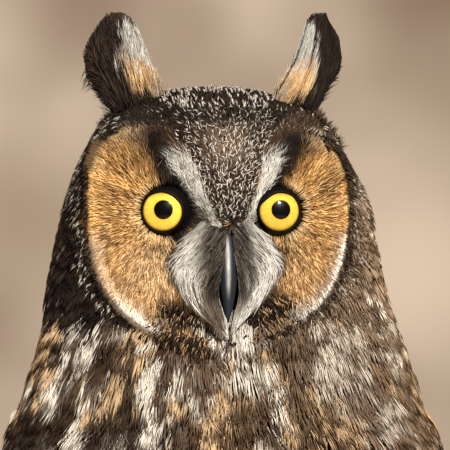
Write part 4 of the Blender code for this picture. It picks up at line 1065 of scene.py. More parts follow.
def bristles(hand, n, low, high, mean_lift, white_share):
    across = draw.random(n) ** 0.9
    begin = 0.86 * draw.random(n) ** 1.1 - 0.02
    reach = (low + (high - low) * draw.random(n)) / 33.0 * (1.0 - 0.35 * begin)
    t = np.linspace(0.0, 1.0, 5)[None]
    along = begin[:, None] + reach[:, None] * t
    drift = (0.40 - 0.30 * begin + draw.normal(0.0, 0.08, n))[:, None] * (t - 0.3)
    waves = 0.04 * np.sin(6.0 * along + 9.0 * across[:, None])
    here = across[:, None] * (0.90 - 0.06 * begin[:, None]) + drift + waves
    px, pu = stream_place(hand, here, along)
    lift = -0.5 + (mean_lift + 1.5 * draw.random(n)[:, None]) * np.sin(np.pi * (0.12 + 0.72 * t))
    # Beside the bill they lean on its flanks. The head is turned, so what stands forward shows aside.
    front = face_front(px, pu)
    local = px - math.tan(HEAD_TURN) * (DISC_FRONT - front + lift)
    for _ in range(2):
        bill, half = over_bill(local, pu)
        near = (1.0 - ease(np.abs(local), half * 0.9, half + 4.5)) * ease(-pu, 3.0, 8.0)
        on_bill = face_front(local, pu) - bill + 0.25 + 0.8 * draw.random(n)[:, None] * np.sin(np.pi * t)
        raised = np.maximum(lift, lift * (1.0 - near) + on_bill * near)
        local = px - math.tan(HEAD_TURN) * (DISC_FRONT - front + raised)
    # They part round the bill, which shows more and more of its flanks towards the tip
    shown = np.interp(-pu, [6.0, 9.0, 15.0, 21.0, 24.0, 27.0, 30.0, 32.6],
                      [0.5, 0.6, 1.0, 1.9, 2.3, 1.9, 1.0, 0.1])
    shown = shown * (0.7 if hand > 0 else 1.0)
    px = hand * 0.5 * (hand * local + np.sqrt(local ** 2 + 4.0 * shown ** 2))
    path = face_point(px, pu, raised)
    luck = draw.random(n)
    clump = noise_at(np.stack([across * 9.0, begin * 5.0 + 3.0 * hand, 0 * across], -1), 1.0, 71)
    outer = ease(here + 0.35 * (along - 0.35) + 0.35 * (clump[:, None] - 0.5), 0.24, 0.60)[..., None]
    outer = outer * (0.45 + 0.55 * ease(along, 0.04, 0.22))[..., None]
    outer = np.maximum(outer, 0.9 * ease(-pu + 2.0 * (clump[:, None] - 0.5), 24.0, 31.0)[..., None])
    bright = luck + 0.8 * (clump - 0.5) < white_share
    pale = np.where(bright[:, None], blend(GREY, WHITE, np.clip(0.25 + luck, 0, 1)),
                    blend(BLACK_BROWN, GREY, luck * 0.5))
    dark = blend(tint(20, 17, 15), tint(112, 104, 96), draw.random(n) ** 2.2)
    colour = dark[:, None] * (1 - outer) + pale[:, None] * outer
    shade = (0.7 + 0.35 * np.sin(np.pi * np.minimum(t * 0.8 + 0.1, 1.0)))[..., None]
    width = (0.11 + 0.06 * draw.random(n))[:, None] * (0.8 + 0.6 * t - 1.25 * t ** 2.5)
    root = (px[:, 0], pu[:, 0])
    return strand_arrays(path, ahead_of_face(*root), np.maximum(width, 0.01), colour * shade,
                         unroll_face(*root))


for side, hand in SIDES:
    groups = [bristles(hand, 1950, 6.5, 10.5, 0.6, 0.60), bristles(hand, 1950, 8.0, 14.0, 1.5, 0.86)]
    coat_piece(f"bristles_{side}", groups, DOWN, slot="plumage_head")

# %% [markdown]
# Under the bill the chin has short plumes: dark patches with brown points at both sides, a pale
# middle, and a ragged lower hem that hangs over the breast. Their roots are scattered over the whole
# chin, and the marking that a root falls in decides what grows there.

# %% Chin
n = 9500
x = draw.normal(1.0, 11.0, n)
up = draw.uniform(-42.0, -23.0, n)
keep = (np.abs(x - 1.0) < 25.0) & (in_beard(x, up) < 0.8)
x, up = x[keep], up[keep]
luck = draw.random(len(x))
ragged = 2.5 * (noise_at(np.stack([x / 2.0, 0 * x, 0 * x], -1), 1.0, 37) - 0.5)
pale = np.hypot((x - 1.5) / 5.0, (up + 35.5 + ragged) / 4.5) < 1.0
dark = ~pale & (chin_patch(x, up) + 1.4 * (draw.random(len(x)) - 0.5) > -0.5)
# Under the patches their ragged tips hang over the breast
hem = ~pale & ~dark & (np.abs(x - 1.5) < 18.0) & (np.abs(up + 37.6 - 0.16 * np.abs(x - 1.5) + ragged) < 1.2)
keep = dark | pale | hem
x, up, luck, dark = x[keep], up[keep], luck[keep], (dark | hem)[keep]
mottled = np.where((luck > 0.94)[:, None], tint(168, 138, 104),
                   blend(tint(20, 15, 12), tint(54, 41, 32), luck))
lock = noise_at(np.stack([x / 1.5, up / 5.0, 0 * x], -1), 1.0, 29) + 0.3 * (luck - 0.5)
below = np.where((lock > 0.30)[:, None], blend(BUFF, WHITE, np.clip(luck + 0.3, 0, 1)), tint(44, 34, 27))
tone = np.where(dark[:, None], mottled, below)
tip = np.where((dark & (draw.random(len(x)) > 0.93))[:, None], tint(196, 174, 146), tone)
down = unit(np.stack([0.04 * x, -np.ones_like(x)], axis=-1))
groups = [face_strands(x, up, 2.4 + 1.8 * luck + 1.6 * ~dark, 0.15 + 0.06 * luck, 0.5 + 1.0 * luck, tone, tip,
                       0.18, lie=down)]
# A small beard hangs from under the lower bill and closes the gap between the bristles
n = 520
side = draw.normal(0.0, 1.1, n)
luck = draw.random(n)
t = np.linspace(0.0, 1.0, 4)[None]
depth = -46.5 + 2.5 * draw.random(n)[:, None] + 5.5 * t + 0.6 * np.abs(side)[:, None]
height = draw.uniform(-34.0, -29.5, n)[:, None] - (3.5 + 3.5 * luck)[:, None] * t
path = on_head(side[:, None] * (1.0 + 0.3 * t), depth, height)
tone = np.where((draw.random(n) < 0.15)[:, None], tint(70, 60, 52), blend(tint(170, 160, 148), WHITE, luck))
half = (0.12 + 0.06 * draw.random(n))[:, None] * (0.9 + 0.4 * t - 1.2 * t ** 2.2)
ahead = np.tile(on_head(0.0, -1.0, 0.0) - on_head(0.0, 0.0, 0.0), (n, 1))
# Each strand is painted darker towards its root, as shade under its neighbours
groups.append(strand_arrays(path, ahead, np.maximum(half, 0.01), tone[:, None] * (0.75 + 0.3 * t[..., None]),
                            unroll_face(side, height[:, 0])))
coat_piece("chin", groups, DOWN, slot="plumage_head")

# %% [markdown]
# Body feathers are fans of barbs: a narrow foot, a rounded end, and a dark streak along the middle.
# One function makes a whole field of them at once. It takes a list of roots, and for each strand of
# each feather works out where it runs over the body, what part of the feather it is, and its tone.

# %% Feather fans
def fans(table, angle, level, size, slant, count, half, lift, tones, depth=2.4, stations=4, open_tip=1.0):
    """Fans of strands over the body.

    angle, level, slant (degrees from straight down, outwards) and lift are one value a feather, and
    size is (length, width) a feather. tones(feather, share, t, luck) gives colours, where share runs
    from -1 to 1 across a feather and t from 0 to 1 along it.
    """
    n = len(angle)
    feather = np.repeat(np.arange(n), count)
    share = np.tile(np.linspace(-1.0, 1.0, count), n) + draw.normal(0.0, 0.5 / count, n * count)
    m = len(feather)
    length, width = size[0][feather], size[1][feather]
    luck = draw.random(m)
    t = np.linspace(0.0, 1.0, stations)[None]
    # A strand leaves the shaft low down and bows out to its place at the rounded end
    end = 1.0 - 0.32 * share ** 2 + draw.normal(0.0, 0.035, m)
    start = 0.25 * draw.random(m)
    run = (start[:, None] + (end - start)[:, None] * t) * length[:, None]
    bow = 0.25 + 0.75 * np.sin(np.pi / 2 * np.minimum(t * 1.15, 1.0)) * open_tip
    across = share[:, None] * bow * width[:, None] / 2.0 + draw.normal(0.0, 0.05, m)[:, None] * run * t
    a, l = angle[feather], level[feather]
    e_across, e_down, normal = body_basis(table, a, l)
    scale_a = np.maximum(np.linalg.norm(e_across, axis=-1), 0.08)[:, None]
    scale_l = np.linalg.norm(e_down, axis=-1)[:, None]
    tilt = np.radians(slant[feather])[:, None]
    da = (run * np.sin(tilt) + across * np.cos(tilt)) / scale_a
    dl = (run * np.cos(tilt) - across * np.sin(tilt)) / scale_l
    where_a, where_l = a[:, None] + da, l[:, None] + dl
    base = body_point(table, where_a, where_l)
    out = body_basis(table, where_a, where_l)[2]
    arch = -depth + (depth + lift[feather][:, None]) * np.sin(np.pi / 2 * np.minimum(t * 1.3, 1.0))
    arch = arch + (0.5 * (1.0 - share ** 2) * (0.3 + 0.7 * luck))[:, None] * t
    path = base + out * arch[..., None]
    w = half * (0.8 + 0.4 * luck)[:, None] * (0.85 + 0.35 * t - 1.05 * t ** 3)
    colour = tones(feather, share[:, None] + 0 * t, t + 0 * share[:, None], luck[:, None] + 0 * t)
    return strand_arrays(path, normal, w, colour, unroll(table, a, l))

# %% Rows of roots
def run_along(line):
    """How far each point of a line is from its start, along it."""
    return np.concatenate([[0.0], np.cumsum(np.linalg.norm(np.diff(line, axis=0), axis=1))])


def field(table, low, high, top, bottom, across, along, jitter=0.28):
    """Roots in staggered rows between two angles and two heights, evenly spaced over the surface."""
    fine = np.linspace(0.0, len(table) - 1.0, 900)
    down = run_along(body_point(table, 90.0 + 0 * fine, fine))
    first, last = np.interp(level_of(table, np.array([top, bottom])), fine, down)
    spread = np.linspace(low, high, 60)
    angles, levels = [], []
    for row, at in enumerate(np.arange(first, last, along)):
        ring = body_point(table, spread, np.interp(at, down, fine) + 0 * spread)
        run = run_along(ring)
        n = max(2, int(round(run[-1] / across)))
        place = (np.arange(n) + (0.5 if row % 2 else 0.0) + draw.normal(0.0, jitter, n)) / n * run[-1]
        angles.append(np.interp(np.clip(place, 0, run[-1]), run, spread))
        levels.append(np.interp(at + draw.normal(0.0, jitter * along, n), down, fine))
    return np.concatenate(angles), np.concatenate(levels)


def facing(angle):
    """Angles brought between -180 and 180."""
    return (angle + 180.0) % 360.0 - 180.0

# %% [markdown]
# The nape and the sides of the head have small feathers, each with a dull or pale spot or none. We
# lay a field of fans over the whole head, leave out what lies on the face and the crown, and decide
# for each feather how pale and how large its spot is: most behind, and in the sun on the bird's left.

# %% Sides and back of the head
angle, level = field(TRUNK, -180.0, 180.0, EYE_Z + 36.0, EYE_Z - 44.0, 4.0, 3.0)
root = body_point(TRUNK, angle, level)
up = root[:, 2] - EYE_Z
hx = root[:, 0] - FACE_MIDDLE
turn = np.abs(facing(angle))
on_face = (turn < 88.0) & (mark_edge(hx, up - 1.0) < 0.4)
on_face |= (turn < 78) & (up > 23.0) & (hx > -32) & (hx < 32)
on_face |= (turn < 60) & (forehead_reach(hx, up) > 1.0) & (up < 30)
on_face |= ((up > 33.0) & (root[:, 1] < 12.0)) | ((turn < 58.0) & (up < -34.0))
angle, level, up, root = angle[~on_face], level[~on_face], up[~on_face], root[~on_face]
n = len(angle)
turn = facing(angle)
behind = ease(np.abs(turn), 95.0, 150.0)
sunny = ease(root[:, 0], 0.0, 30.0) * (1.0 - behind)
base_tone = head_side_tone(root, draw.random(n))
spot_tone = blend(tint(92, 84, 78), tint(222, 212, 196),
                  np.clip(sunny + behind * 0.6 + 0.35 * draw.random(n), 0, 1))
spot_size = (0.45 + 0.15 * behind + 0.35 * sunny) * (draw.random(n) < 0.14 + 0.10 * sunny + 0.28 * behind)
near_rim = np.abs(mark_edge(root[:, 0] - FACE_MIDDLE, up)) < 5.0
spot_size = np.where(near_rim & (np.abs(turn) < 100.0), 0.0, spot_size)


def head_tones(f, share, t, luck):
    colour = base_tone[f][:, None] * (0.8 + 0.4 * luck)[..., None]
    reach = spot_size[f][:, None] - np.hypot(share * 0.9, (t - 0.78) * 2.2)
    bar = (t > 0.35) & (t < 0.5) & (behind[f][:, None] > 0.4)
    colour = blend(colour, spot_tone[f][:, None] * (0.85 + 0.15 * luck[..., None]), ease(reach, -0.05, 0.2))
    return np.where(bar[..., None], TAWNY * 0.6, colour)


length = 6.5 + 4.5 * ease(-up, 0.0, 35.0) + draw.normal(0.0, 0.5, n)
width = 4.6 + 2.2 * ease(-up, 0.0, 35.0) + draw.normal(0.0, 0.4, n)
slant = np.clip(turn * 0.18, -18.0, 18.0) + draw.normal(0.0, 7.0, n)
lift = 0.1 + 0.6 * draw.random(n)
for name, part, count, half in (("head_front_sides", np.abs(turn) <= 100.0, 11, 0.21),
                                ("head_back", np.abs(turn) > 100.0, 5, 0.45)):
    pick = np.flatnonzero(part)
    arrays = fans(TRUNK, angle[pick], level[pick], (length[pick], width[pick]), slant[pick], count,
                  half, lift[pick], lambda f, s, t, k, pick=pick: head_tones(pick[f], s, t, k), 1.2)
    coat_piece(name, arrays, DOWN, slot="plumage_head")

# %% [markdown]
# A ruff of tiny, stiff, black feathers closes each disc behind. Many have a white point. They stand
# in dense rows, so the roots lie hardly more than a millimetre apart, and three strands make one.

# %% Ruff
angle, level = field(TRUNK, -104.0, 104.0, EYE_Z + 30.0, EYE_Z - 46.0, 1.15, 1.25)
root = body_point(TRUNK, angle, level)
hx, up = root[:, 0] - FACE_MIDDLE, root[:, 2] - EYE_Z
edge = mark_edge(hx, up)
keep = (edge > -0.2) & (edge < 6.5 - 4.0 * (np.abs(angle) < 40)) & ~((up > 20.0) & (np.abs(hx) < 30.0))
keep &= draw.random(len(edge)) < 1.0 - 0.55 * ease(edge, 4.0, 6.5)
angle, level, root, edge, up = angle[keep], level[keep], root[keep], edge[keep], up[keep]
n = len(angle)
ruff_dark = blend(head_side_tone(root, draw.random(n) * 0.6), tint(20, 15, 12),
                  0.75 * (1.0 - ease(edge, 0.6, 3.0)))
chance = 0.32 * ease(edge, 0.9, 1.8) * (1.0 - 0.6 * ease(edge, 3.2, 6.0)) * ease(up, -38.0, -22.0)
pointed = draw.random(n) < chance
ruff_point = np.where(pointed[:, None], blend(tint(186, 170, 150), WHITE * 1.1, draw.random(n)), ruff_dark)


def ruff_tones(f, share, t, luck):
    dark = ruff_dark[f][:, None] * (0.8 + 0.4 * luck[..., None])
    return blend(dark, ruff_point[f][:, None], ease(t, 0.35, 0.62))


size = (3.0 + draw.random(n), 0.75 + 0.3 * draw.random(n))
slant = np.sign(angle) * 8.0 + draw.normal(0.0, 12.0, n)
arrays = fans(TRUNK, angle, level, size, slant, 3, 0.19, 0.7 + 0.5 * draw.random(n), ruff_tones, 0.9,
              stations=3)
coat_piece("ruff", arrays, DOWN, slot="plumage_head")

# %% [markdown]
# On the crown the feathers lie backwards. Rows that run round the body would crowd together at its
# top, so here the roots are spread over a plan seen from above, and each is lifted onto the head.

# %% Crown
def crown_point(x, y, lift):
    """A point on the crown above the place (x, y) of the head's own plan."""
    low, high = np.zeros(np.shape(x)), np.full(np.shape(x), 6.0)
    for _ in range(12):
        level = (low + high) / 2.0
        z, half, front, back, centre = rows_at(TRUNK, level)
        depth = np.where(y < 0, front, back)
        power = np.where(y < 0, front_power(z - EYE_Z), SIDE_POWER)
        inside = np.abs(x / half) ** power + np.abs((y - centre) / depth) ** power < 1.0
        high, low = np.where(inside, level, high), np.where(inside, low, level)
    z = rows_at(TRUNK, (low + high) / 2.0)[0] - EYE_Z
    return on_head(x, y, z + lift)


n = 7600
spin, far = draw.uniform(0.0, 2.0 * np.pi, n), np.sqrt(draw.random(n))
x, y = 34.0 * far * np.cos(spin), -1.0 + 28.0 * far * np.sin(spin)
crowd = noise_at(np.stack([x, y, 0 * x], -1), 3.2, 27)
chance = (0.02 + 0.22 * ease(crowd, 0.3, 0.7)) * (1.0 - 0.85 * ease(np.abs(x), 13.0, 20.0))
fleck = draw.random(n) < chance * (1.0 - 0.7 * ease(y, -14.0, -4.0))
luck = draw.random(n)
long = (3.6 + 1.6 * luck) * (1.0 - 0.2 * fleck)
veer = draw.normal(0.0, 0.22, n) + 0.012 * x
t = np.linspace(0.0, 1.0, 3)[None]
px = x[:, None] + np.sin(veer)[:, None] * long[:, None] * t
py = y[:, None] + np.cos(veer)[:, None] * long[:, None] * t
rise = -0.8 + (0.9 + 0.4 * luck + 0.5 * fleck)[:, None] * np.sin(np.minimum(t * 1.25, 1.0) * np.pi / 2)
path = crown_point(px, py, rise)
dark = blend(tint(20, 15, 13), tint(58, 45, 36), luck)
pale = blend(tint(168, 150, 128), tint(244, 242, 238), draw.random(n))
colour = dark[:, None] + (fleck[:, None] * (pale - dark))[:, None] * ease(t, 0.3, 0.65)[..., None]
normal = np.tile([0.0, 0.0, 1.0], (n, 1))
half = np.where(fleck, 0.36, 0.24)[:, None] * (0.8 + 0.5 * t - 1.0 * t ** 3)
uv = unroll(TRUNK, np.degrees(np.arctan2(x, -y)), 2.0 * far)
# Each strand is painted darker towards its root, as shade under its neighbours
arrays = strand_arrays(path, normal, half, colour * (0.75 + 0.3 * t[..., None]), uv)
coat_piece("crown", arrays, DOWN, slot="plumage_head")

# %% [markdown]
# The ear tufts aren't ears at all, but long feathers of the crown that the owl raises. Each tuft is
# a flat plume: dark brown on the outer side, white and buff along the inner edge, with a soft
# fringe. We lay strands over both faces of one bent leaf shape, from the crown to the tip.

# %% Ear tufts
TUFTS = {
    "ear_tuft_right": dict(root=(-24.0, -9.0, 29.0), bulge=(-30.2, -8.0, 46.0), tip=(-30.4, -5.0, 60.0),
                           across=(0.94, -0.20, 0.28), low=11.4, high=12.2, inner=1.0, fringe=1.0,
                           border=[0.95, 0.74, 0.48, 0.10, -0.04, 0.16, 0.5, 0.9],
                           outline=[(29.7, -34.3), (34.8, -37.9), (40.8, -40.3), (48.3, -42.1),
                                    (54.3, -39.4)]),
    "ear_tuft_left": dict(root=(24.0, -9.0, 29.0), bulge=(32.6, -8.0, 46.0), tip=(32.8, -5.0, 60.2),
                          across=(0.80, 0.55, -0.20), low=11.6, high=10.6, inner=-1.0, fringe=0.4,
                          border=[0.5, 0.30, 0.16, 0.05, 0.12, 0.32, 0.62, 0.95],
                          outline=[(28.2, 30.2), (33.3, 33.2), (39.3, 35.6), (46.8, 36.5),
                                   (52.8, 35.6), (58.8, 31.7)]),
}


def tuft_point(size, share, t, lift):
    """A place on the tuft: share across from -1 to 1, t from root to tip, lift off its middle."""
    root, bulge, tip = (np.array(size[k]) for k in ("root", "bulge", "tip"))
    across = unit(np.array(size["across"]))
    share, t, lift = np.broadcast_arrays(share, t, lift)
    s, u = share[..., None], t[..., None]
    middle = root * (1 - u) ** 2 + bulge * 2 * u * (1 - u) + tip * u * u
    slope = unit((bulge - root) * (1 - u) + (tip - bulge) * u)
    normal = unit(np.cross(slope, across))
    width = size["low"] * (1 - u) + size["high"] * u
    p = middle + across * s * width
    p = p - np.array([0.0, 0.0, 1.0]) * 13.0 * np.abs(s) ** 1.7 * u ** 1.5 + normal * lift[..., None]
    turned_p = on_head(p[..., 0], p[..., 1], p[..., 2])
    turned_n = on_head(normal[..., 0], normal[..., 1], normal[..., 2]) - on_head(0.0, 0.0, 0.0)
    return turned_p, turned_n


def tuft_tone(size, share, t, luck, clump):
    """Dark outer part, white inner edge above and buff inner foot, with a ragged border between."""
    inward = share * size["inner"]
    # The left tuft's brown is painted darker, as shade
    brown = tint(72, 56, 45) * (1.0 if size["inner"] > 0 else 0.5)
    dark = blend(tint(18, 14, 12), brown, np.clip(luck ** 1.6, 0, 1))
    border = np.interp(t, [0.0, 0.1, 0.18, 0.33, 0.55, 0.75, 0.92, 1.0], size["border"])
    pale = ease(inward + 0.55 * (clump - 0.5) + 0.12 * (luck - 0.5), border - 0.03, border + 0.10)
    white = blend(tint(120, 114, 106), tint(204, 201, 196), np.clip(luck * 0.9 + 0.8 * (clump - 0.4), 0, 1))
    # The left tuft's white is painted darker, as shade
    white = white * (1.0 if size["inner"] > 0 else 0.8)
    foot = blend(tint(170, 132, 88), tint(232, 198, 150), np.clip(luck + 0.8 * (clump - 0.5), 0, 1))
    pale_tone = blend(foot, white, ease(t + 0.25 * (luck - 0.5) + 0.2 * (clump - 0.5), 0.36, 0.58))
    colour = blend(dark, pale_tone, pale * 0.96)
    down = ease(inward + 0.3 * (luck - 0.5), 0.55, 0.85) * (1 - ease(t, 0.22, 0.42))
    return blend(colour, blend(tint(86, 74, 62), tint(172, 158, 142), luck), down * 0.9)

# %% Plumes of the tufts
for name, size in TUFTS.items():
    n = 5200
    share = draw.uniform(-1.0, 1.0, n)
    outer = share * size["inner"] < 0
    begin = -0.10 + 0.94 * draw.random(n) ** 0.95
    reach = (0.20 + 0.14 * draw.random(n)) * (1.0 - 0.2 * begin)
    t = np.linspace(0.0, 1.0, 4)[None]
    along = begin[:, None] + reach[:, None] * t
    along = np.minimum(along, 1.0 + 0.03 * draw.random(n)[:, None])
    flare = np.where(outer, 0.26, 0.16) * size["fringe"]
    splay = draw.normal(0.0, 0.05, n) + np.abs(share) ** 2 * np.sign(share) * flare
    splay = splay + np.sign(share) * 0.30 * size["fringe"] * (np.abs(share) > 0.72) * outer * draw.random(n)
    narrow = 1.0 - np.where(outer, 0.44, 0.0)[:, None] * (1.0 - ease(along, 0.10, 0.75))
    sweep = (share[:, None] * (0.90 - 0.04 * t) + splay[:, None] * t ** 1.4) * narrow
    wisp = (draw.random(n) < 0.05) & (np.abs(share) > 0.55)
    sweep = sweep + (wisp * np.sign(share) * 0.20)[:, None] * t ** 2
    front = np.where(draw.random(n) < 0.62, -1.0, 1.0)
    thick = (0.3 + 2.4 * np.sqrt(np.clip(1.0 - share ** 2, 0, 1)) * (1.0 - 0.9 * begin))[:, None]
    lift = front[:, None] * (thick * (0.45 + 0.75 * draw.random(n)[:, None]) + 0.6 * np.sin(t * 2.2))
    taper = np.clip(1.08 - along, 0.03, 1.0) ** 0.22
    path, normal = tuft_point(size, sweep * taper, along, lift)
    path[..., 2] = np.minimum(path[..., 2], EYE_Z + 60.3 - 0.3 * draw.random(n)[:, None])
    # Outside the tuft's outline, (up, sideways) from the eyes, only the ends of a few wisps show
    limit = np.interp(path[..., 2] - EYE_Z, *np.array(size["outline"]).T)
    past = np.maximum((path[..., 0] - limit) * -size["inner"], 0.0)
    path[..., 0] += size["inner"] * past * np.where(wisp, 0.45, 0.8)[:, None]
    luck = draw.random(n)
    clump = noise_at(np.stack([share * 7.0, begin * 4.0, 0 * share], -1), 1.0, 77)
    tones = tuft_tone(size, sweep, along, np.repeat(luck[:, None], 4, 1), clump[:, None])
    half = (0.13 + 0.09 * draw.random(n))[:, None] * (0.9 + 0.4 * t - 1.2 * t ** 2.2)
    uv = unroll_face(np.clip(share * 8.0 + size["root"][0], -40, 40), 30.0 + 0 * share)
    # Each strand is painted darker towards its root, as shade under its neighbours
    groups = [strand_arrays(path, normal * front[:, None, None], np.maximum(half, 0.01),
                            tones * (0.72 + 0.35 * t[..., None]), uv)]
    coat_piece(name + "_plume", groups, DOWN, name, slot="plumage_dark")

# %% [markdown]
# The eye is a ball behind a clear, wet surface. Its yellow ring is bright and finely rayed, and
# darkens at both edges. The pole of the sphere lies along the way the eye looks, so rings of points
# fall exactly on the edge of the pupil and of the iris, and both stay crisp circles.

# %% Eyes
IRIS_RADIUS, PUPIL_RADIUS = 5.95, 2.8
eye_material, tree, shader = new_material("eye_wet", {
    "Roughness": 0.35, "Specular IOR Level": 0.1, "Coat Weight": 1.0, "Coat IOR": 1.23,
    "Coat Roughness": 0.02})
ring_colour = tree.nodes.new("ShaderNodeAttribute")
ring_colour.attribute_name = "coat"
wire(tree, (ring_colour, "Color", shader, "Base Color"))


def eye_axes(hand):
    """Where the eye looks, and the sideways and upward directions of its face."""
    turn = hand * EYE_SPLAY
    look = np.array([math.sin(turn), -math.cos(turn), 0.0])
    upward = np.array([0.0, 0.0, 1.0])
    return look, np.cross(upward, look) * -1.0, upward

# %% Eyeballs
def make_eye(side, hand):
    look, sideways, upward = eye_axes(hand)
    edge = [0.0, 0.35, 0.7, 0.95, 1.0, 1.012, 1.2, 1.45, 1.7, 1.9, 2.0, 2.09, 2.125, 2.17, 2.3]
    radii = np.array(edge) * PUPIL_RADIUS
    polar = np.arcsin(np.clip(radii / EYE_RADIUS, 0, 1))
    polar = np.concatenate([polar, np.linspace(polar[-1] + 0.12, np.pi, 12)])
    rays = 144
    shape = bmesh.new()
    bmesh.ops.create_uvsphere(shape, u_segments=rays, v_segments=len(polar) - 1, radius=1.0)
    shape.verts.ensure_lookup_table()
    rows = len(polar) - 1
    at = np.array([v.co for v in shape.verts])
    row = np.rint(np.arccos(np.clip(at[:, 2], -1, 1)) / np.pi * rows).astype(int)
    spin = np.arctan2(at[:, 1], at[:, 0])
    a = polar[row]
    # The clear front bulges a little beyond the ball
    bulge = EYE_RADIUS + 0.35 * (1.0 - ease(a, 0.0, 0.8))
    local = np.stack([np.sin(a) * np.cos(spin), np.sin(a) * np.sin(spin), np.cos(a)], axis=-1)
    local = local * bulge[:, None]
    centre = on_head(hand * EYE_X, EYE_DEPTH, 0.0)
    # The pupil sits a little above the middle of the iris and nearer to the bird's left
    moved = (1.0 - ease(np.sin(a) * EYE_RADIUS, 2.9, 5.4)) * (a < 1.2)
    local[:, 0] -= (0.6 if hand < 0 else 0.15) * moved
    local[:, 1] += 0.38 * moved
    points = centre + local[:, :1] * sideways + local[:, 1:2] * upward + local[:, 2:] * look
    r = np.sin(a) * EYE_RADIUS
    ray = noise_at(np.stack([np.cos(spin) * 14, np.sin(spin) * 14, r * 0.35], axis=-1), 1.0, 31)
    ripple = noise_at(np.stack([np.cos(spin) * 6, np.sin(spin) * 6, r * 1.2], axis=-1), 1.0, 32)
    yellow = blend(tint(214, 166, 50), tint(238, 206, 84), np.clip(0.25 + 0.6 * ray + 0.3 * ripple, 0, 1))
    # The iris of the owl's left eye is painted darker, as shade
    yellow = yellow * (0.84 if hand > 0 else 1.0)
    yellow = blend(yellow, tint(168, 122, 20), 0.75 * ease(r, 5.25, 5.85))
    yellow = blend(yellow, tint(214, 150, 14), 0.55 * (1.0 - ease(r, PUPIL_RADIUS, PUPIL_RADIUS + 0.7)))
    # Shade of the upper lid on the top of the iris
    height = np.sin(a) * np.sin(spin) * EYE_RADIUS
    yellow = yellow * (1.0 - 0.55 * ease(height, 3.4, 5.8) * (a < 1.2))[:, None]
    colour = np.where((r < PUPIL_RADIUS * 1.006)[:, None] & (a < 1.2)[:, None], tint(6, 6, 7), yellow)
    colour = np.where(((r > 5.93) | (a > 1.2))[:, None], tint(14, 12, 12), colour)
    move_points(shape, points)
    return dress(shaped_object(f"eye_ball_{side}", shape, colour), eye_material, "eye", f"eye_{side}")


print("iris", IRIS_RADIUS * 2, "mm across, pupil", PUPIL_RADIUS * 2, "mm")

# %% [markdown]
# Bare black skin rims each eye. The upper lid droops, most towards the bill, and that droop gives
# the owl its stern look. The rim is a ring with a round section, bent over the eyeball, and its
# inner radius shrinks where the lid hangs lower. Fine noise stands in for its wrinkles.

# %% Lids
lid_material = noisy_material(
    "lid_skin", {"Roughness": 0.6, "Specular IOR Level": 0.08}, (1.0, 1.0, 1.0), {"Scale": 2600.0},
    [(0.0, tint(3, 3, 3)), (1.0, tint(18, 15, 13))], bump=(0.35, 0.0002))


def make_lid(side, hand):
    """A rounded rim of bare skin round the eye, heavier above and towards the bill."""
    look, sideways, upward = eye_axes(hand)
    centre = on_head(hand * EYE_X, EYE_DEPTH, 0.0)
    rays, rim = 96, 14
    spin = np.linspace(0.0, 2.0 * np.pi, rays, endpoint=False)
    inward = hand * np.cos(spin)
    above = np.sin(spin)
    droop = (0.45 if hand < 0 else 0.85) * np.exp(-(((above - 0.74) / 0.32) ** 2)) * ease(inward, -0.75, 0.65)
    droop = droop + 0.25 * ease(above, 0.75, 1.0)
    open_radius = 6.0 - droop
    outer = (6.8 if hand < 0 else 6.5) + 0.25 * ease(inward, -0.2, 1.0) + 0.15 * ease(above, 0.0, 0.8)
    rings = []
    for j in range(rim):
        a = 2.0 * np.pi * j / rim
        middle, span = (open_radius + outer) / 2, (outer - open_radius) / 2
        r = middle + span * math.cos(a)
        depth = np.sqrt(np.clip((EYE_RADIUS + 0.2) ** 2 - r * r, 0.0, None)) + 0.15 + 0.62 * math.sin(a)
        rings.append(centre + np.outer(r * np.cos(spin), sideways) + np.outer(r * np.sin(spin), upward)
                     + np.outer(depth, look))
    points = np.stack(rings, axis=1).reshape(-1, 3)
    faces = []
    for i in range(rays):
        for j in range(rim):
            a, b = i * rim + j, i * rim + (j + 1) % rim
            c, d = (i + 1) % rays * rim + j, (i + 1) % rays * rim + (j + 1) % rim
            faces += [(a, b, d), (a, d, c)]
    return dress(new_mesh(f"lid_{side}", points, facing_out(points, np.array(faces))), lid_material, "horn")


for side, hand in SIDES:
    make_eye(side, hand)
    lid = make_lid(side, hand)
    print(side, "lid:", len(lid.data.polygons), "triangles")

# %% [markdown]
# The bill is a hooked blue-black horn. Half of it hides in the bristles. It is a sphere pulled
# along a curve of ovals from the brow to the hook, with a dent for each nostril, and a painted
# highlight, a pale stripe, along its ridge. The claws are the same horn, drawn round the perch to
# a point.

# %% Bill and claws
UPPER_BILL = np.array([
    (-36.0, -11.0, 4.0, 5.0, 5.0), (-43.5, -11.0, 3.8, 5.2, 12.0), (-48.0, -13.5, 3.3, 4.8, 38.0),
    (-50.6, -18.0, 2.9, 4.1, 66.0), (-51.6, -23.0, 2.4, 3.2, 86.0), (-51.3, -28.0, 1.6, 2.0, 98.0),
    (-50.6, -33.4, 0.35, 0.4, 104.0)])
LOWER_BILL = np.array([
    (-35.0, -20.0, 2.9, 1.7, 12.0), (-41.0, -21.6, 2.7, 1.7, 20.0), (-45.0, -24.2, 2.0, 1.5, 40.0),
    (-46.8, -26.8, 0.9, 0.8, 52.0)])


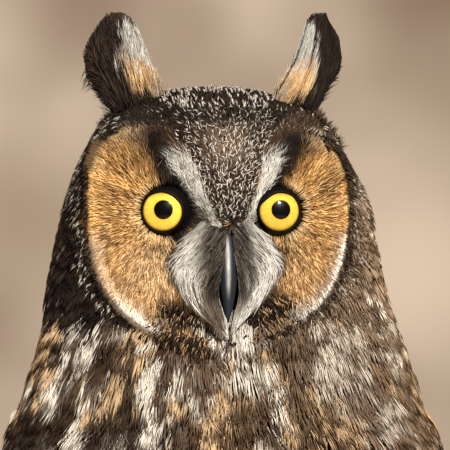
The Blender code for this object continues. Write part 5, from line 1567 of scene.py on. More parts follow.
def horn_material(name, dark, pale, roughness, grain):
    """Painted horn whose tone is clouded, and drawn out in fine lines along its height."""
    material, tree, shader = new_material(name, {
        "Roughness": roughness, "Specular IOR Level": 0.22, "Coat Weight": 0.08, "Coat Roughness": 0.3})
    place, stretch, cloud = add_nodes(tree, "TexCoord", "Mapping", "TexNoise")
    ramp = ramp_node(tree, [(0.3, dark), (0.75, pale)])
    fill(stretch, {"Scale": (grain * 2.2, grain * 2.2, grain * 0.5)})
    wire(tree, (place, "Object", stretch, "Vector"), (stretch, "Vector", cloud, "Vector"),
         (cloud, "Fac", ramp, "Fac"))
    multiply_paint(tree, shader, ramp, "Color")
    add_bump(tree, shader, cloud, 0.25, 0.0002)
    return material


HORN = horn_material("horn", (0.45, 0.47, 0.50), (1.25, 1.28, 1.32), 0.62, 700.0)

# %% A sphere drawn along a curve
def sphere_along(name, place, rows, sides, material, slot, nodes):
    """A sphere whose points are moved by place(share along, angle), which also gives their colours."""
    shape = bmesh.new()
    bmesh.ops.create_uvsphere(shape, u_segments=sides, v_segments=rows, radius=1.0)
    at = np.array([v.co for v in shape.verts])
    share = np.arccos(np.clip(at[:, 2], -1, 1)) / np.pi
    points, colour = place(share, np.arctan2(at[:, 0], at[:, 1]))
    move_points(shape, points)
    bmesh.ops.recalc_face_normals(shape, faces=shape.faces)
    obj = dress(shaped_object(name, shape, colour), material, slot, *nodes)
    print(name, len(obj.data.polygons), "faces")
    return obj


def bill_place(table, sharp):
    """Maps the sphere onto the ovals of a bill. sharp pinches the ovals into a ridge in front."""
    def place(share, angle):
        level = np.clip(share * 1.06 - 0.03, 0.0, 1.0) * (len(table) - 1)
        y, up, half_w, half_h, tilt = rows_at(table, level)
        shrink = np.sqrt(np.clip(np.sin(np.clip(share, 0.0, 1.0) * np.pi) * 7.0, 0.0, 1.0))
        a = np.radians(tilt)
        ridge = np.cos(angle)
        w = half_w * (1.0 - sharp * np.maximum(ridge, 0.0) ** 2)
        x = w * np.sin(angle) * shrink
        r = half_h * ridge * shrink
        points = on_head(x, y - np.sin(a) * r, up + np.cos(a) * r)
        for hand in (-1.0, 1.0):
            away = np.linalg.norm(points - on_head(hand * 4.4, -46.0, -11.2), axis=-1)
            points = points - (on_head(hand, 0.0, 0.0) - on_head(0.0, 0.0, 0.0)) * (
                0.9 * np.exp(-((away / 0.9) ** 2)))[:, None]
        # The pale stripe along the ridge is a painted highlight
        wear_and_highlight = np.exp(-(((np.sin(angle) + 0.10) / 0.27) ** 2)) * (ridge > 0)
        wear_and_highlight = wear_and_highlight * ease(share, 0.2, 0.4) * (1 - ease(share, 0.56, 0.80))
        wear_and_highlight = wear_and_highlight * (0.6 + 0.8 * noise_at(np.stack([angle * 9.0, share * 14.0, 0 * share], -1), 1.0, 83))
        tone = blend(tint(34, 40, 48), tint(188, 185, 181), np.clip(wear_and_highlight * 0.85, 0, 1))
        return points, blend(tone, tint(58, 54, 54), 0.8 * (1.0 - ease(share, 0.12, 0.36)))
    return place


sphere_along("upper_bill", bill_place(UPPER_BILL, 0.28), 60, 40, HORN, "horn", ["bill_upper"])
sphere_along("lower_bill", bill_place(LOWER_BILL, 0.0), 36, 28, HORN, "horn", ["bill_lower"])

# %% Claws
def claw_place(hand, toe):
    way, start, end, last = toe[1:]
    first = last + math.degrees(0.3 / (PERCH_RADIUS + TOE_RADIUS)) + 1.2
    x0, drift = hand * (LEG_X + end), hand * (end - start) * 0.3

    def line(t):
        radius = 2.1 * (1.0 - t) ** 0.8 + 0.15
        lift = 1.6 * np.sin(np.pi * np.minimum(1.0, t * 1.15))
        return round_perch(x0 + drift * t, way, first + 62.0 * t, radius + lift), radius

    def place(share, angle):
        t = np.clip(share * 1.04 - 0.04, 0.0, 1.0)
        middle, radius = line(t)
        along = unit(line(t + 0.01)[0] - line(t - 0.01)[0])
        u = np.broadcast_to(np.array([1.0, 0.0, 0.0]), along.shape)
        v = np.cross(along, u)
        u = np.cross(v, along)
        round_off = np.clip(share * 16.0, 0.0, 1.0) ** 0.5 * np.where(share > 0.995, 0.0, 1.0)
        r = (radius * round_off)[:, None]
        points = middle + unit(u) * r * np.sin(angle)[:, None] * 0.86 + unit(v) * r * np.cos(angle)[:, None]
        grey = tint(48, 46, 46) + 0 * points
        return points, blend(grey, tint(18, 18, 20), ease(t, 0.1, 0.7))
    return place


for side, hand in SIDES:
    for toe in TOES:
        ends = f"{side}_{toe[0]}"
        sphere_along("talon_" + ends, claw_place(hand, toe), 28, 18, HORN, "horn", ["claw_" + ends])

# %% [markdown]
# On the breast each feather has a dark brown streak down the middle and pale sides, white on some
# and buff on others. Laid in rows, the pale sides of neighbours meet and make the long blotches of
# the real breast. The owl's right side is painted darker, as shade, and its left paler, as sunlit.
# The same field goes on round the flanks, down the belly, where the feathers are paler and looser,
# and over the back, where they are barred.

# %% Tones of the body feathers
def body_tones(table, angle, level, length, width):
    """Colour rules for one field of body feathers."""
    points = body_point(table, angle, level)
    turn = np.abs(facing(angle))
    n = len(angle)
    x, z = points[:, 0], points[:, 2]
    up = z - EYE_Z
    back = ease(turn, 96.0, 128.0)
    belly = ease(-up, 84.0, 130.0) * (1.0 - back)
    patch = noise_at(points, 16.0, 41)
    # darkness grows towards the owl's right side: painted shade, on top of the patches
    darkness = np.clip(0.44 + 0.50 * ease(-x, 4.0, 36.0) + 0.04 * ease(x, 16.0, 50.0) - 0.5 * (patch - 0.5)
                       - 0.28 * ease(up, -54.0, -40.0) - 0.5 * belly, 0.0, 1.0)
    pick = noise_at(points * np.array([1.0, 1.0, 0.5]), 7.0, 45) + 0.16 * (draw.random(n) - 0.5)
    side_tone = np.where((pick > 0.43)[:, None], tint(216, 210, 200), tint(200, 172, 136))
    sunny = ease(x, 8.0, 34.0) * (1.0 - belly)
    side_tone = blend(side_tone, BREAST_MID, np.clip(0.2 * draw.random(n) + 0.38 * sunny, 0, 0.8))
    side_tone = blend(side_tone, tint(222, 204, 174), belly * 0.7)
    dark_tone = blend(tint(94, 74, 57), tint(34, 25, 20),
                      np.clip(darkness * 0.9 + 0.2 * (draw.random(n) - 0.5), 0, 1))
    dark_tone = blend(dark_tone, tint(108, 88, 70), sunny * 0.9)
    side_tone = blend(side_tone, blend(TAWNY, tint(150, 122, 92), draw.random(n)), back * 0.85)
    dark_tone = blend(dark_tone, tint(58, 45, 36), back)
    dull = darkness > 0.62 + 0.42 * draw.random(n)
    streak = np.clip(0.36 + 0.30 * darkness + 0.12 * draw.normal(0, 1, n) - 0.22 * belly, 0.12, 0.9)
    streak = np.where(dull, 0.98, streak)
    skew = draw.normal(0.0, 0.16, n)

    around, down = np.radians(facing(angle)) * 52.0, -z
    bias = -0.005 - 0.24 * (darkness - 0.4) + 0.015 * draw.normal(0, 1, n)
    low = ease(-up, 42.0, 56.0)
    bias = bias + (0.11 - 0.25 * low) * ease(-x, 12.0, 32.0) * (1.0 - belly)

    def tones(f, share, t, luck):
        s = np.abs(share + skew[f][:, None])
        # In front the pale sides of neighbours meet in blotches, longer than they are wide
        u = around[f][:, None] + share * width[f][:, None] * 0.5
        v = down[f][:, None] + t * length[f][:, None]
        blotch = noise_at(np.stack([u / 3.1, v / 8.0, 0 * u], -1), 1.0, 43)
        blotch = blotch + 0.22 * (noise_at(np.stack([u / 1.3, v / 5.0, 0 * u], -1), 1.0, 44) - 0.5)
        mark = 1.0 - ease(blotch + bias[f][:, None] + 0.06 * (luck - 0.5), 0.46, 0.60)
        core = 1.0 - ease(s + 0.10 * (luck - 0.5), streak[f][:, None] - 0.22, streak[f][:, None] + 0.22)
        tip = ease(t, 0.84, 1.0) * (0.35 + 0.4 * darkness[f][:, None])
        core = np.clip(core + tip * (1.0 - core), 0, 1)
        wave = np.sin((t * 13.0 + s * 2.2 + f[:, None] * 1.7)) > 0.25
        bars = (wave & (s > 0.3)) * (0.75 * back + 0.30 * belly)[f][:, None]
        core = np.clip(core + bars, 0, 1)
        front = 1.0 - back[f][:, None]
        core = core * (1.0 - 0.93 * front) + mark * 0.93 * front
        pale = side_tone[f][:, None] * (0.96 + 0.08 * luck[..., None])
        dark = dark_tone[f][:, None] * (0.9 + 0.2 * luck[..., None])
        colour = blend(pale, dark, core)
        # The foot of each feather is painted darker, as shade under the row above
        foot = 1.0 - ease(t, 0.0, 0.35)
        return blend(colour, dark_tone[f][:, None] * 0.8, foot * 0.6)
    return tones

# %% Breast, belly and back
def wing_front(z):
    """Angle at which the wing's front edge shows from under the breast feathers."""
    down = (EYE_Z - 54.0 - z) / 151.0
    return 94.0 - 20.0 * ease(down, -0.02, 0.2) + 16.0 * ease(down, 0.5, 1.0)


def body_field(name, low, high, top, bottom, across, along, length, width, count, half, lift, **more):
    angle, level = field(TRUNK, low, high, top, bottom, across, along, 0.17)
    z = rows_at(TRUNK, level)[0]
    turn = np.abs(facing(angle))
    under_wing = (z < EYE_Z - 66.0) & (turn > wing_front(z) + 7.0) & (turn < 158.0)
    keep = ~under_wing
    angle, level, turn = angle[keep], level[keep], facing(angle[keep])
    n = len(angle)
    size = (length + draw.normal(0.0, 0.08 * length, n), width + draw.normal(0.0, 0.1 * width, n))
    slant = np.clip(turn * 0.20, -22.0, 22.0) * (np.abs(turn) < 120) + draw.normal(0.0, 5.0, n)
    arrays = fans(TRUNK, angle, level, size, slant, count, half, lift + 0.9 * draw.random(n),
                  body_tones(TRUNK, angle, level, *size), **more)
    return coat_piece(name, arrays, DOWN, slot="plumage_body")


# Where the photo looks, the rows are closer and the barbs finer
body_field("breast_right", -104.0, 4.0, EYE_Z - 28.5, EYE_Z - 80.0, 5.2, 5.6, 18.0, 8.6, 28, 0.21, 0.3)
body_field("breast_left", -4.0, 104.0, EYE_Z - 28.5, EYE_Z - 80.0, 5.2, 5.6, 18.0, 8.6, 28, 0.21, 0.3)
body_field("lower_breast", -96.0, 96.0, EYE_Z - 80.0, EYE_Z - 150.0, 8.5, 7.5, 20.0, 13.0, 16, 0.37, 0.5)
body_field("belly", -96.0, 96.0, EYE_Z - 150.0, EYE_Z - 206.0, 8.5, 7.0, 20.0, 13.0, 14, 0.42, 0.8)
body_field("back", 100.0, 260.0, EYE_Z - 40.0, EYE_Z - 190.0, 9.0, 8.0, 20.0, 14.0, 14, 0.46, 1.0)
body_field("tail_coverts", -180.0, 180.0, EYE_Z - 188.0, EYE_Z - 232.0, 6.5, 6.0, 18.0, 9.0, 12, 0.36, 0.6)

# %% [markdown]
# A folded wing is a roof of feathers in tiers. Small coverts lie on top near the shoulder, larger
# ones below them, and from under these come the long secondaries and the primaries that cross
# towards the tail. The long ones are stiff vanes with a shaft, a soft worn edge and dark bars.

# %% Vane builder
def vane_arrays(path_at, length, half, thick, tone, cell, profile, rows=34, cols=12):
    """A closed thin vane. path_at(t, side mm) gives points and outward normals."""
    t = np.linspace(0.0, 1.0, rows)
    c = np.linspace(-1.0, 1.0, cols + 1)
    tt, cc = np.meshgrid(t, c, indexing="ij")
    width = half * np.interp(t, *profile)
    wear_and_highlight = 1.0 - 0.05 * np.abs(np.sin(t * length * 1.9)) - 0.04 * draw.random(rows)
    offset = cc * (width * wear_and_highlight)[:, None]
    base, normal = path_at(tt, offset)
    arch = 0.8 * (1.0 - cc ** 2) * np.minimum(width, 4.0)[:, None] / 6.0
    shaft = 0.28 * np.exp(-((cc / 0.07) ** 2)) * (1.0 - 0.6 * tt)
    top = base + normal * (arch + shaft + thick / 2)[..., None]
    low = base + normal * (arch - thick / 2)[..., None]
    n = rows * (cols + 1)
    points = np.concatenate([top.reshape(-1, 3), low.reshape(-1, 3)])
    i, j = np.meshgrid(np.arange(rows - 1), np.arange(cols), indexing="ij")
    a = (i * (cols + 1) + j).ravel()
    b, d = a + 1, a + cols + 1
    e = d + 1
    up = np.concatenate([np.stack([a, b, e], -1), np.stack([a, e, d], -1)])
    down = np.concatenate([np.stack([a, e, b], -1), np.stack([a, d, e], -1)]) + n
    edge = []
    rim = [r * (cols + 1) for r in range(rows)] + [(rows - 1) * (cols + 1) + q for q in range(1, cols + 1)]
    rim += [r * (cols + 1) + cols for r in range(rows - 2, -1, -1)] + list(range(cols - 1, 0, -1))
    for p, q in zip(rim, rim[1:] + rim[:1]):
        edge += [(p, q, q + n), (p, q + n, p + n)]
    triangles = facing_out(points, np.concatenate([up, down, np.array(edge)]))
    seed = int(cell[0] * 97 + cell[1] * 31)
    grain = noise_at(np.stack([cc * 9.0, tt * length * 0.9, 0 * tt], -1), 1.0, seed)
    colour = tone(cc, tt, grain)
    colour = blend(colour, tint(60, 46, 36), np.clip(np.exp(-((cc / 0.06) ** 2)) * 0.7, 0, 1))
    shade = np.concatenate([colour.reshape(-1, 3), colour.reshape(-1, 3) * 0.8])
    u, v = cell[0] + 0.028 * (cc * 0.5 + 0.5), cell[1] + 0.12 * (1.0 - tt)
    places = np.stack([u, v], -1).reshape(-1, 2)
    return points, triangles, shade, np.concatenate([places, places])


LONG_PROFILE = ([0.0, 0.1, 0.5, 0.85, 0.95, 1.0], [0.45, 0.7, 1.0, 0.95, 0.7, 0.15])
ROUND_PROFILE = ([0.0, 0.2, 0.65, 0.85, 0.95, 1.0], [0.5, 0.8, 1.0, 0.9, 0.62, 0.12])

# %% Paths and bars of the long feathers
def hull_path(hand, angle, drift, top_z, length, low_lift, high_lift):
    def at(t, offset):
        here = hand * (angle + drift * t ** 1.3)
        level = level_of(WING_HULL, top_z - length * t)
        across, down, normal = body_basis(WING_HULL, here, level)
        run = unit(down + across * (hand * drift * 0.012))
        side = unit(np.cross(normal, run))
        step = np.linalg.norm(across, axis=-1)
        degrees = offset * np.einsum("...k,...k->...", side, unit(across)) / step
        sink = offset * np.einsum("...k,...k->...", side, unit(down)) / np.linalg.norm(down, axis=-1)
        normal_there = body_basis(WING_HULL, here + degrees, level + sink)[2]
        lift = low_lift + (high_lift - low_lift) * t ** 0.6
        there = body_point(WING_HULL, here + degrees, level + sink)
        return there + normal_there * lift[..., None], normal_there
    return at


def bars(count, dark, pale, filled, mottle):
    """A tone rule with crossing bars and fine mottling."""
    def tone(c, t, grain):
        wave = np.sin(2 * np.pi * (count * t + 0.12 * np.abs(c))) + 0.5 * (grain - 0.5)
        bar = ease(wave, 1.0 - 2.0 * filled - 0.25, 1.0 - 2.0 * filled + 0.25)
        colour = blend(pale + 0 * t[..., None], dark, bar)
        return colour * (1.0 - mottle + 2.0 * mottle * grain)[..., None]
    return tone

# %% Tiers of the wing
# Tier name, count, root below the eye, front and back angle, length front and back, half width,
# drift, lift at the root and at the tip, bars, how much of it is dark
TIERS = [
    ("primaries", 8, 150.0, 90.0, 110.0, 106.0, 134.0, 6.2, 42.0, -2.0, 0.1, 7, 0.62),
    ("secondaries", 9, 142.0, 104.0, 146.0, 70.0, 84.0, 7.0, 12.0, -1.4, 1.0, 6, 0.58),
    ("greater_coverts", 9, 120.0, 88.0, 142.0, 38.0, 44.0, 6.6, 6.0, -0.6, 1.8, 3, 0.6),
    ("tertials", 3, 116.0, 150.0, 164.0, 74.0, 66.0, 7.6, 2.0, -0.6, 2.2, 6, 0.6),
]
wing_dark, wing_pale = tint(70, 55, 44), tint(176, 138, 98)
for side, hand in SIDES:
    groups = []
    for row, tier in enumerate(TIERS):
        name, count, down, front, back, long_f, long_b, half, drift, low, high, n_bars, filled = tier
        for i in range(count):
            share = i / (count - 1)
            long = long_f + (long_b - long_f) * share + draw.normal(0.0, 1.0)
            path = hull_path(hand, front + (back - front) * share, drift, EYE_Z - down, long, low,
                             high + 0.5 * (i % 2))
            pale = wing_pale
            if name != "primaries":
                pale = blend(wing_pale, tint(206, 186, 156), 0.5 * draw.random())
            tone = bars(n_bars, wing_dark, pale, filled, 0.28)
            cell = (0.03 + 0.031 * (i + 9 * (row % 3)), 0.05 + 0.13 * row)
            groups.append(vane_arrays(path, long, half, 0.45, tone, cell,
                                      LONG_PROFILE if long > 60 else ROUND_PROFILE,
                                      rows=int(12 + long * 0.18)))
    coat_piece(f"wing_vanes_{side}", groups, VANE, f"wing_{side}", slot="plumage_flight")

# %% Coverts
def covert_tones(edge_pale):
    """Coverts: dark brown, mottled tawny, with a white or buff spot on the outer web."""
    n = len(edge_pale)
    spot = draw.random(n) < 0.45
    dark = blend(tint(56, 44, 36), tint(94, 74, 58), draw.random(n))
    pale = np.where((draw.random(n) < 0.45)[:, None], tint(216, 206, 188), tint(196, 158, 112))

    def tones(f, share, t, luck):
        colour = dark[f][:, None] * (0.6 + 0.8 * luck[..., None])
        wave = np.sin(t * 15.0 + share * 3.0 + f[:, None] * 2.1 + 2.0 * luck)
        fleck = (wave > 0.45) & (luck > 0.35)
        colour = np.where(fleck[..., None], TAWNY * (0.55 + 0.5 * luck[..., None]), colour)
        outer = edge_pale[f][:, None] | (spot[f][:, None] & (share > 0.15) & (t > 0.4) & (t < 0.86))
        spotted = pale[f][:, None] * (0.8 + 0.3 * luck[..., None])
        return np.where((outer & (np.abs(share) > 0.12))[..., None], spotted, colour)
    return tones


for side, hand in SIDES:
    angles, levels = field(WING_HULL, 76.0, 158.0, EYE_Z - 56.0, EYE_Z - 128.0, 8.0, 6.5)
    z = rows_at(WING_HULL, levels)[0]
    keep = (angles > wing_front(z) - 1.0) & (angles < 160.0) & ((z > EYE_Z - 118.0) | (angles > 140))
    angles, levels, z = angles[keep], levels[keep], z[keep]
    edge = (angles < wing_front(z) + 9.0) & (draw.random(len(angles)) < 0.75)
    n = len(angles)
    size = (18.0 + 5.0 * ease(EYE_Z - z, 60.0, 110.0) + draw.normal(0, 1.0, n), 11.5 + draw.normal(0, 0.8, n))
    slant = hand * (4.0 + draw.normal(0.0, 4.0, n))
    arrays = fans(WING_HULL, hand * angles, levels, size, slant, 15, 0.38, 2.0 + 0.8 * draw.random(n),
                  covert_tones(edge), depth=1.0)
    coat_piece(f"wing_coverts_{side}", arrays, DOWN, slot="plumage_flight")

# %% [markdown]
# The tail is twelve long feathers, stacked like a closed fan, with the middle pair on the outside,
# which is behind. It hangs behind the perch and keeps clear of the stand. The bars are narrow and
# evenly spaced, so the folded tail looks striped.

# %% Tail
def tail_path(share):
    layer = 5.6 * (1.0 - abs(share))
    root = np.array([share * 10.0, 25.0 + layer * 0.7, PERCH_TOP])
    tip = np.array([share * 12.0, 38.0 + layer, PERCH_TOP - 71.0 + 5.0 * share ** 2])
    side = unit(np.array([1.0, 0.25 * share, 0.0]))
    normal = unit(np.cross(side, tip - root)) * -1.0
    normal = normal * np.sign(normal[1])

    def at(t, offset):
        middle = root + (tip - root) * t[..., None]
        points = middle + side * offset[..., None] + normal * (0.6 * np.sin(np.pi * t))[..., None]
        return points, np.broadcast_to(normal, points.shape)
    return at, float(np.linalg.norm(tip - root))


groups = []
for i in range(12):
    share = 2.0 * i / 11 - 1.0
    path, long = tail_path(share)
    tone = bars(8, tint(72, 56, 44), blend(tint(190, 150, 104), tint(206, 178, 140), abs(share)), 0.45, 0.22)
    groups.append(vane_arrays(path, long, 6.4, 0.45, tone, (0.05 + 0.07 * i, 0.4),
                              ([0.0, 0.3, 0.8, 0.93, 1.0], [0.6, 0.8, 1.0, 0.8, 0.25]), rows=40))
coat_piece("tail_vanes", groups, VANE, "tail", slot="plumage_flight")

# %% [markdown]
# Long-eared owls have feathered legs and toes, so the skin of a foot never shows, only the claws.
# These feathers are short, buff and hair-like, and lie down the leg and out along each toe.

# %% Legs and feet
def strands_on_tube(middles, radii, n, length, half):
    """Short strands that lie along a tube towards its end."""
    k = len(middles)
    share = draw.random(n)
    spin = draw.uniform(0.0, 2.0 * np.pi, n)
    long = length * (0.8 + 0.4 * draw.random(n))
    t = np.linspace(0.0, 1.0, 3)[None]
    place = np.minimum(share[:, None] + long[:, None] * t / run_along(middles)[-1], 1.02)
    index = place * (k - 1)

    def middle_at(index):
        return np.stack([np.interp(index, range(k), middles[:, q]) for q in range(3)], axis=-1)

    middle, along = middle_at(index), unit(middle_at(index + 0.3) - middle_at(index - 0.3))
    guide = np.array([1.0, 0.0, 0.0]) if abs(along[..., 0]).mean() < 0.7 else np.array([0.0, 1.0, 0.0])
    u = unit(np.cross(along, guide))
    v = np.cross(along, u)
    drift = spin[:, None] + draw.normal(0.0, 0.12, n)[:, None] * t
    out = u * np.cos(drift)[..., None] + v * np.sin(drift)[..., None]
    radius = np.interp(index, range(k), radii)
    rise = radius - 0.6 + (0.5 + 0.5 * draw.random(n))[:, None] * np.sin(t * 1.9)
    path = middle + out * rise[..., None]
    luck = draw.random(n)
    tone = blend(tint(188, 148, 98), tint(228, 200, 158), luck)
    spot = draw.random(n) < 0.07
    tone[spot] = tint(120, 90, 62)
    # Each strand is painted darker towards its root, as shade under its neighbours
    colour = tone[:, None] * (0.6 + 0.45 * t[..., None])
    width = half * (0.8 + 0.4 * luck)[:, None] * np.array([1.0, 1.1, 0.1])[None]
    uv = np.stack([0.01 + 0.02 * spin / 7.0, 0.1 + 0.8 * share], axis=-1)
    return strand_arrays(path, out[:, 0], width, colour, uv)


for side, hand in SIDES:
    middles, radius = leg_line(hand)
    groups = [strands_on_tube(middles, radius - 0.7, 1900, 6.5, 0.38)]
    for toe in TOES:
        t = np.linspace(0.0, 1.0, 22)
        middles, radius = toe_line(hand, toe, t)
        groups.append(strands_on_tube(middles, radius - 0.35, 460, 3.6, 0.28))
    coat_piece(f"leg_feathers_{side}", groups, DOWN, slot="plumage_leg")
print("coat:", sum(len(o.data.polygons) for o in COAT), "triangles in", len(COAT), "pieces")

# %% [markdown]
# The photo ends at the breast, so perch and stand are ours: a short cut branch with rough bark and
# pale sawn ends, held by two steel rods over a turned wooden base. They stay plain, so that the bird
# is what one looks at. The branch is a tube whose surface is pushed in and out by noise.

# %% Branch
bark = noisy_material(
    "bark", {"Roughness": 0.88}, (60.0, 260.0, 260.0), {"Scale": 1.0, "Detail": 8.0},
    [(0.25, tint(52, 42, 34)), (0.5, tint(104, 88, 72)), (0.75, tint(148, 132, 112))], bump=(0.8, 0.001))

# The rings of a cut end run round the middle of the branch
cut_wood, tree, shader = new_material("cut_wood", {"Roughness": 0.7})
place, shift, rings = add_nodes(tree, "TexCoord", "Mapping", "TexWave")
rings.wave_type, rings.rings_direction = "RINGS", "X"
ramp = ramp_node(tree, [(0.0, tint(150, 118, 82)), (1.0, tint(204, 174, 132))])
fill(rings, {"Scale": 170.0, "Distortion": 2.5})
fill(shift, {"Location": (0.0, 0.002, -PERCH_AXIS * MM)})
wire(tree, (place, "Object", shift, "Vector"), (shift, "Vector", rings, "Vector"),
     (rings, "Fac", ramp, "Fac"), (ramp, "Color", shader, "Base Color"))

# %% The branch's mesh
rings_along, sides = 150, 120
x = np.linspace(-82.0, 82.0, rings_along)
spin = np.linspace(0.0, 2.0 * np.pi, sides, endpoint=False)
past = np.maximum(0.0, np.abs(x) - 62.0) / 20.0
radius = PERCH_RADIUS - 1.2 * past * np.where(x < 0, 1.0, -0.6)
xx, ss = np.meshgrid(x, spin, indexing="ij")
unrolled = np.stack([xx * 0.35, np.cos(ss) * 9.0, np.sin(ss) * 9.0], axis=-1)
rough = noise_at(unrolled, 2.6, 61) * 0.65 + noise_at(unrolled, 1.1, 62) * 0.35
furrow = np.abs(rough - 0.5) * 2.0
knot = np.exp(-((xx + 66.0) / 5.0) ** 2 - ((ss - 5.2) / 0.35) ** 2)
r = radius[:, None] - 0.15 - 0.75 * (1.0 - furrow) * 0.6 + 1.6 * knot
y_shift = 1.5 * past * np.sin(x)
points = np.stack([xx, y_shift[:, None] + r * np.cos(ss), PERCH_AXIS + r * np.sin(ss)], axis=-1)
inner = []
for end in (0, -1):
    inner.append(np.stack([0 * spin + x[end], y_shift[end] + (r[end] - 1.0) * np.cos(spin),
                           PERCH_AXIS + (r[end] - 1.0) * np.sin(spin)], axis=-1))
middles = [[x[end], y_shift[end], PERCH_AXIS] for end in (0, -1)]
points = np.concatenate([points.reshape(-1, 3), *inner, middles])
faces = tube_sides(rings_along, sides)
start, far = rings_along * sides, (rings_along - 1) * sides
for j in range(sides):
    k = (j + 1) % sides
    faces += [(j, start + j, k), (k, start + j, start + k)]
    faces += [(far + j, far + k, start + sides + j), (far + k, start + sides + k, start + sides + j)]
bark_count = len(faces)
for j in range(sides):
    k = (j + 1) % sides
    faces += [(start + 2 * sides, start + k, start + j),
              (start + 2 * sides + 1, start + sides + j, start + sides + k)]
branch = dress(new_mesh("branch", points, facing_out(points, np.array(faces))), bark, "bark", "perch_branch")
branch.data.materials.append(cut_wood)
slots = np.zeros(len(faces), np.int32)
slots[bark_count:] = 1
branch.data.polygons.foreach_set("material_index", slots)
branch.data.set_sharp_from_angle(angle=math.radians(50.0))
print("branch:", len(faces), "triangles")

# %% [markdown]
# Base and rods are turned on a lathe, so each is one outline spun about an upright axis. The wood's
# grain is noise that changes slowly one way and fast across it, which draws it out in lines. The
# fine lines of the brushed steel run round the rods and are made the same way, only far smaller.

# %% Stand
wood = noisy_material(
    "stained_wood", {"Roughness": 0.42, "Coat Weight": 0.25}, (14.0, 190.0, 190.0),
    {"Scale": 1.0, "Detail": 6.0, "Distortion": 0.6},
    [(0.3, tint(70, 42, 26)), (0.55, tint(110, 70, 44)), (0.75, tint(142, 96, 62))])
steel = noisy_material(
    "brushed_steel", {"Roughness": 0.34, "Metallic": 1.0}, (500.0, 500.0, 5000.0), {"Scale": 1.0},
    [(0.3, tint(158, 158, 160)), (0.7, tint(205, 205, 206))])

# %% Turned pieces
def turned_piece(name, profile, sides, x, material, slot, nodes):
    """A solid of revolution about an upright axis at x, from (radius, z) rows."""
    shape = bmesh.new()
    verts = [shape.verts.new((max(r, 0.0) * MM, 0.0, z * MM)) for r, z in profile]
    edges = [shape.edges.new(pair) for pair in zip(verts, verts[1:])]
    bmesh.ops.spin(shape, geom=verts + edges, cent=(0, 0, 0), axis=(0, 0, 1), angle=2 * math.pi,
                   steps=sides, use_merge=True)
    bmesh.ops.remove_doubles(shape, verts=shape.verts, dist=1e-6)
    bmesh.ops.translate(shape, verts=shape.verts, vec=(x * MM, 0, 0))
    bmesh.ops.recalc_face_normals(shape, faces=shape.faces)
    obj = dress(shaped_object(name, shape), material, slot, *nodes)
    obj.data.set_sharp_from_angle(angle=math.radians(35.0))
    print(name, len(obj.data.polygons), "faces")
    return obj


# The upper edge is rounded by 2 mm and the foot by 1 mm
arc = [(90.0 + 2.0 * math.cos(a), 10.0 + 2.0 * math.sin(a)) for a in np.linspace(0.0, math.pi / 2, 7)]
foot_arc = [(91.0 + math.sin(a), 1.0 - math.cos(a)) for a in np.linspace(0.0, math.pi / 2, 5)]
base_profile = [(0.0, 0.0), (60.0, 0.0)] + foot_arc + [(92.0, 6.0)] + arc
base_profile += [(84.0, 12.0), (83.0, 11.4), (82.0, 12.0), (40.0, 12.0), (0.0, 12.0)]
turned_piece("turned_base", base_profile, 128, 0.0, wood, "stand_wood", ["stand_base"])
top = PERCH_AXIS - PERCH_RADIUS - 0.3
for side, hand in SIDES:
    profile = [(0.0, 12.3), (4.0, 12.3), (4.0, top - 0.5), (3.5, top), (0.0, top)]
    turned_piece(f"rod_{side}", profile, 48, hand * 56.0, steel, "stand_steel", [f"stand_rod_{side}"])

# %% [markdown]
# The photo is taken from far away with a long lens, level with the face: the head fills the frame,
# with the breast cut off below. A round lamp stands high in front, a little to the right, as the sun
# does. A weaker one behind lights the rim, and a pale, warm surround fills the shadows. The
# background is plain and out of focus, in beige and brown.

# %% Camera, light and background
SENSOR, CAMERA_AWAY, FACE_AHEAD, FRAME_WIDTH = 36.0, 3000.0, 35.0, 135.0
camera_data = bpy.data.cameras.new("long_lens")
camera_data.sensor_width = SENSOR
camera_data.lens = SENSOR * (CAMERA_AWAY - FACE_AHEAD) / FRAME_WIDTH
camera_data.clip_end = 20.0
camera = add_object("long_lens", camera_data)
camera.location = Vector((1.1, -CAMERA_AWAY, 305.8)) * MM
camera.rotation_euler = (math.radians(90.0), 0.0, 0.0)
bpy.context.scene.camera = camera
print("lens:", round(camera_data.lens), "mm")

# %% Lights
def area_light(name, direction, distance, size, power, colour):
    """A round light at that distance and direction from the bird, turned to face it."""
    data = bpy.data.lights.new(name, "AREA")
    data.shape, data.size, data.energy, data.color = "DISK", size, power, colour
    light = add_object(name, data)
    aim = Vector((0.0, 0.0, 0.3))
    light.location = aim + Vector(direction).normalized() * distance
    light.rotation_euler = (aim - light.location).to_track_quat("-Z", "Y").to_euler()


area_light("sun_side", (0.20, -0.82, 0.52), 2.2, 0.30, 100.0, (1.0, 0.95, 0.86))
area_light("rim", (-0.75, 0.45, 0.55), 2.0, 0.7, 12.0, (0.95, 0.97, 1.0))

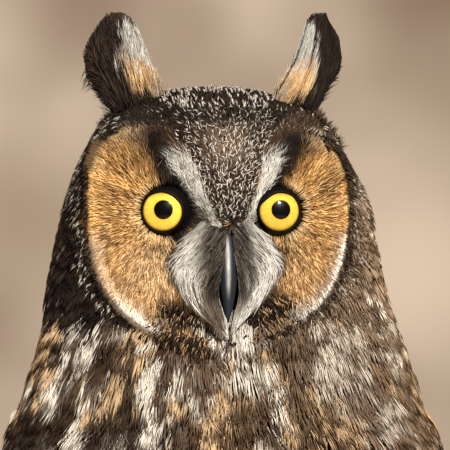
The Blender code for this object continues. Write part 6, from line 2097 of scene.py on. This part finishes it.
# %% Surround
world = bpy.data.worlds.new("soft_surround")
bpy.context.scene.world = world
world.use_nodes = True
tree = world.node_tree
back = tree.nodes["Background"]
place, cloud = add_nodes(tree, "TexCoord", "TexNoise")
fill(cloud, {"Scale": 48.0, "Detail": 1.5})
ramp = ramp_node(tree, [(0.30, tint(158, 134, 114)), (0.50, tint(190, 167, 144)),
                        (0.70, tint(222, 199, 173))])
wire(tree, (place, "Generated", cloud, "Vector"), (cloud, "Fac", ramp, "Fac"))
# Three large soft patches in it: a shaded one at the upper right and at the left, a sunlit one at the
# right. Each is (sideways, up), reach and tone.
PATCHES = [((0.024, 0.026), 0.022, tint(128, 103, 82)), ((-0.021, 0.001), 0.013, tint(168, 145, 120)),
           ((0.021, -0.003), 0.016, tint(226, 202, 176))]
seen_colour = (ramp, "Color")
for (across, above), reach, patch in PATCHES:
    away, soft, mix = add_nodes(tree, "VectorMath", "MapRange", "Mix")
    away.operation, soft.interpolation_type, mix.data_type = "DISTANCE", "SMOOTHSTEP", "RGBA"
    fill(away, {1: (across, 1.0, above)})
    fill(soft, {"From Max": reach, "To Min": 0.8, "To Max": 0.0})
    fill(mix, {"B": (*patch, 1.0)})
    wire(tree, (place, "Generated", away, 0), (away, "Value", soft, "Value"),
         (soft, "Result", mix, "Factor"), (*seen_colour, mix, "A"))
    seen_colour = (mix, "Result")
# The surround is seen at full strength and lights the bird at less, as an open sky behind a hide would
seen, level, dim = add_nodes(tree, "LightPath", "MapRange", "Math")
dim.operation = "MULTIPLY_ADD"
fill(level, {"To Min": 0.50, "To Max": 1.0})
fill(dim, {1: -0.38})
wire(tree, (*seen_colour, back, "Color"), (seen, "Is Camera Ray", level, "Value"),
     (seen, "Is Glossy Ray", dim, 0), (level, "Result", dim, 2), (dim, "Value", back, "Strength"))

# %% Table top and colours as seen
floor_shape = bmesh.new()
bmesh.ops.create_circle(floor_shape, cap_ends=True, segments=96, radius=0.7)
mesh = bpy.data.meshes.new("table_top")
floor_shape.to_mesh(mesh)
floor_shape.free()
table_top = add_object("table_top", mesh)
table_top.location = (0.0, 0.0, -0.0005)
table_top.data.materials.append(
    new_material("matt_table", {"Roughness": 0.8, "Base Color": (*tint(196, 180, 162), 1.0)})[0])

bpy.context.scene.view_settings.view_transform = "Standard"
bpy.context.scene.view_settings.look = "None"
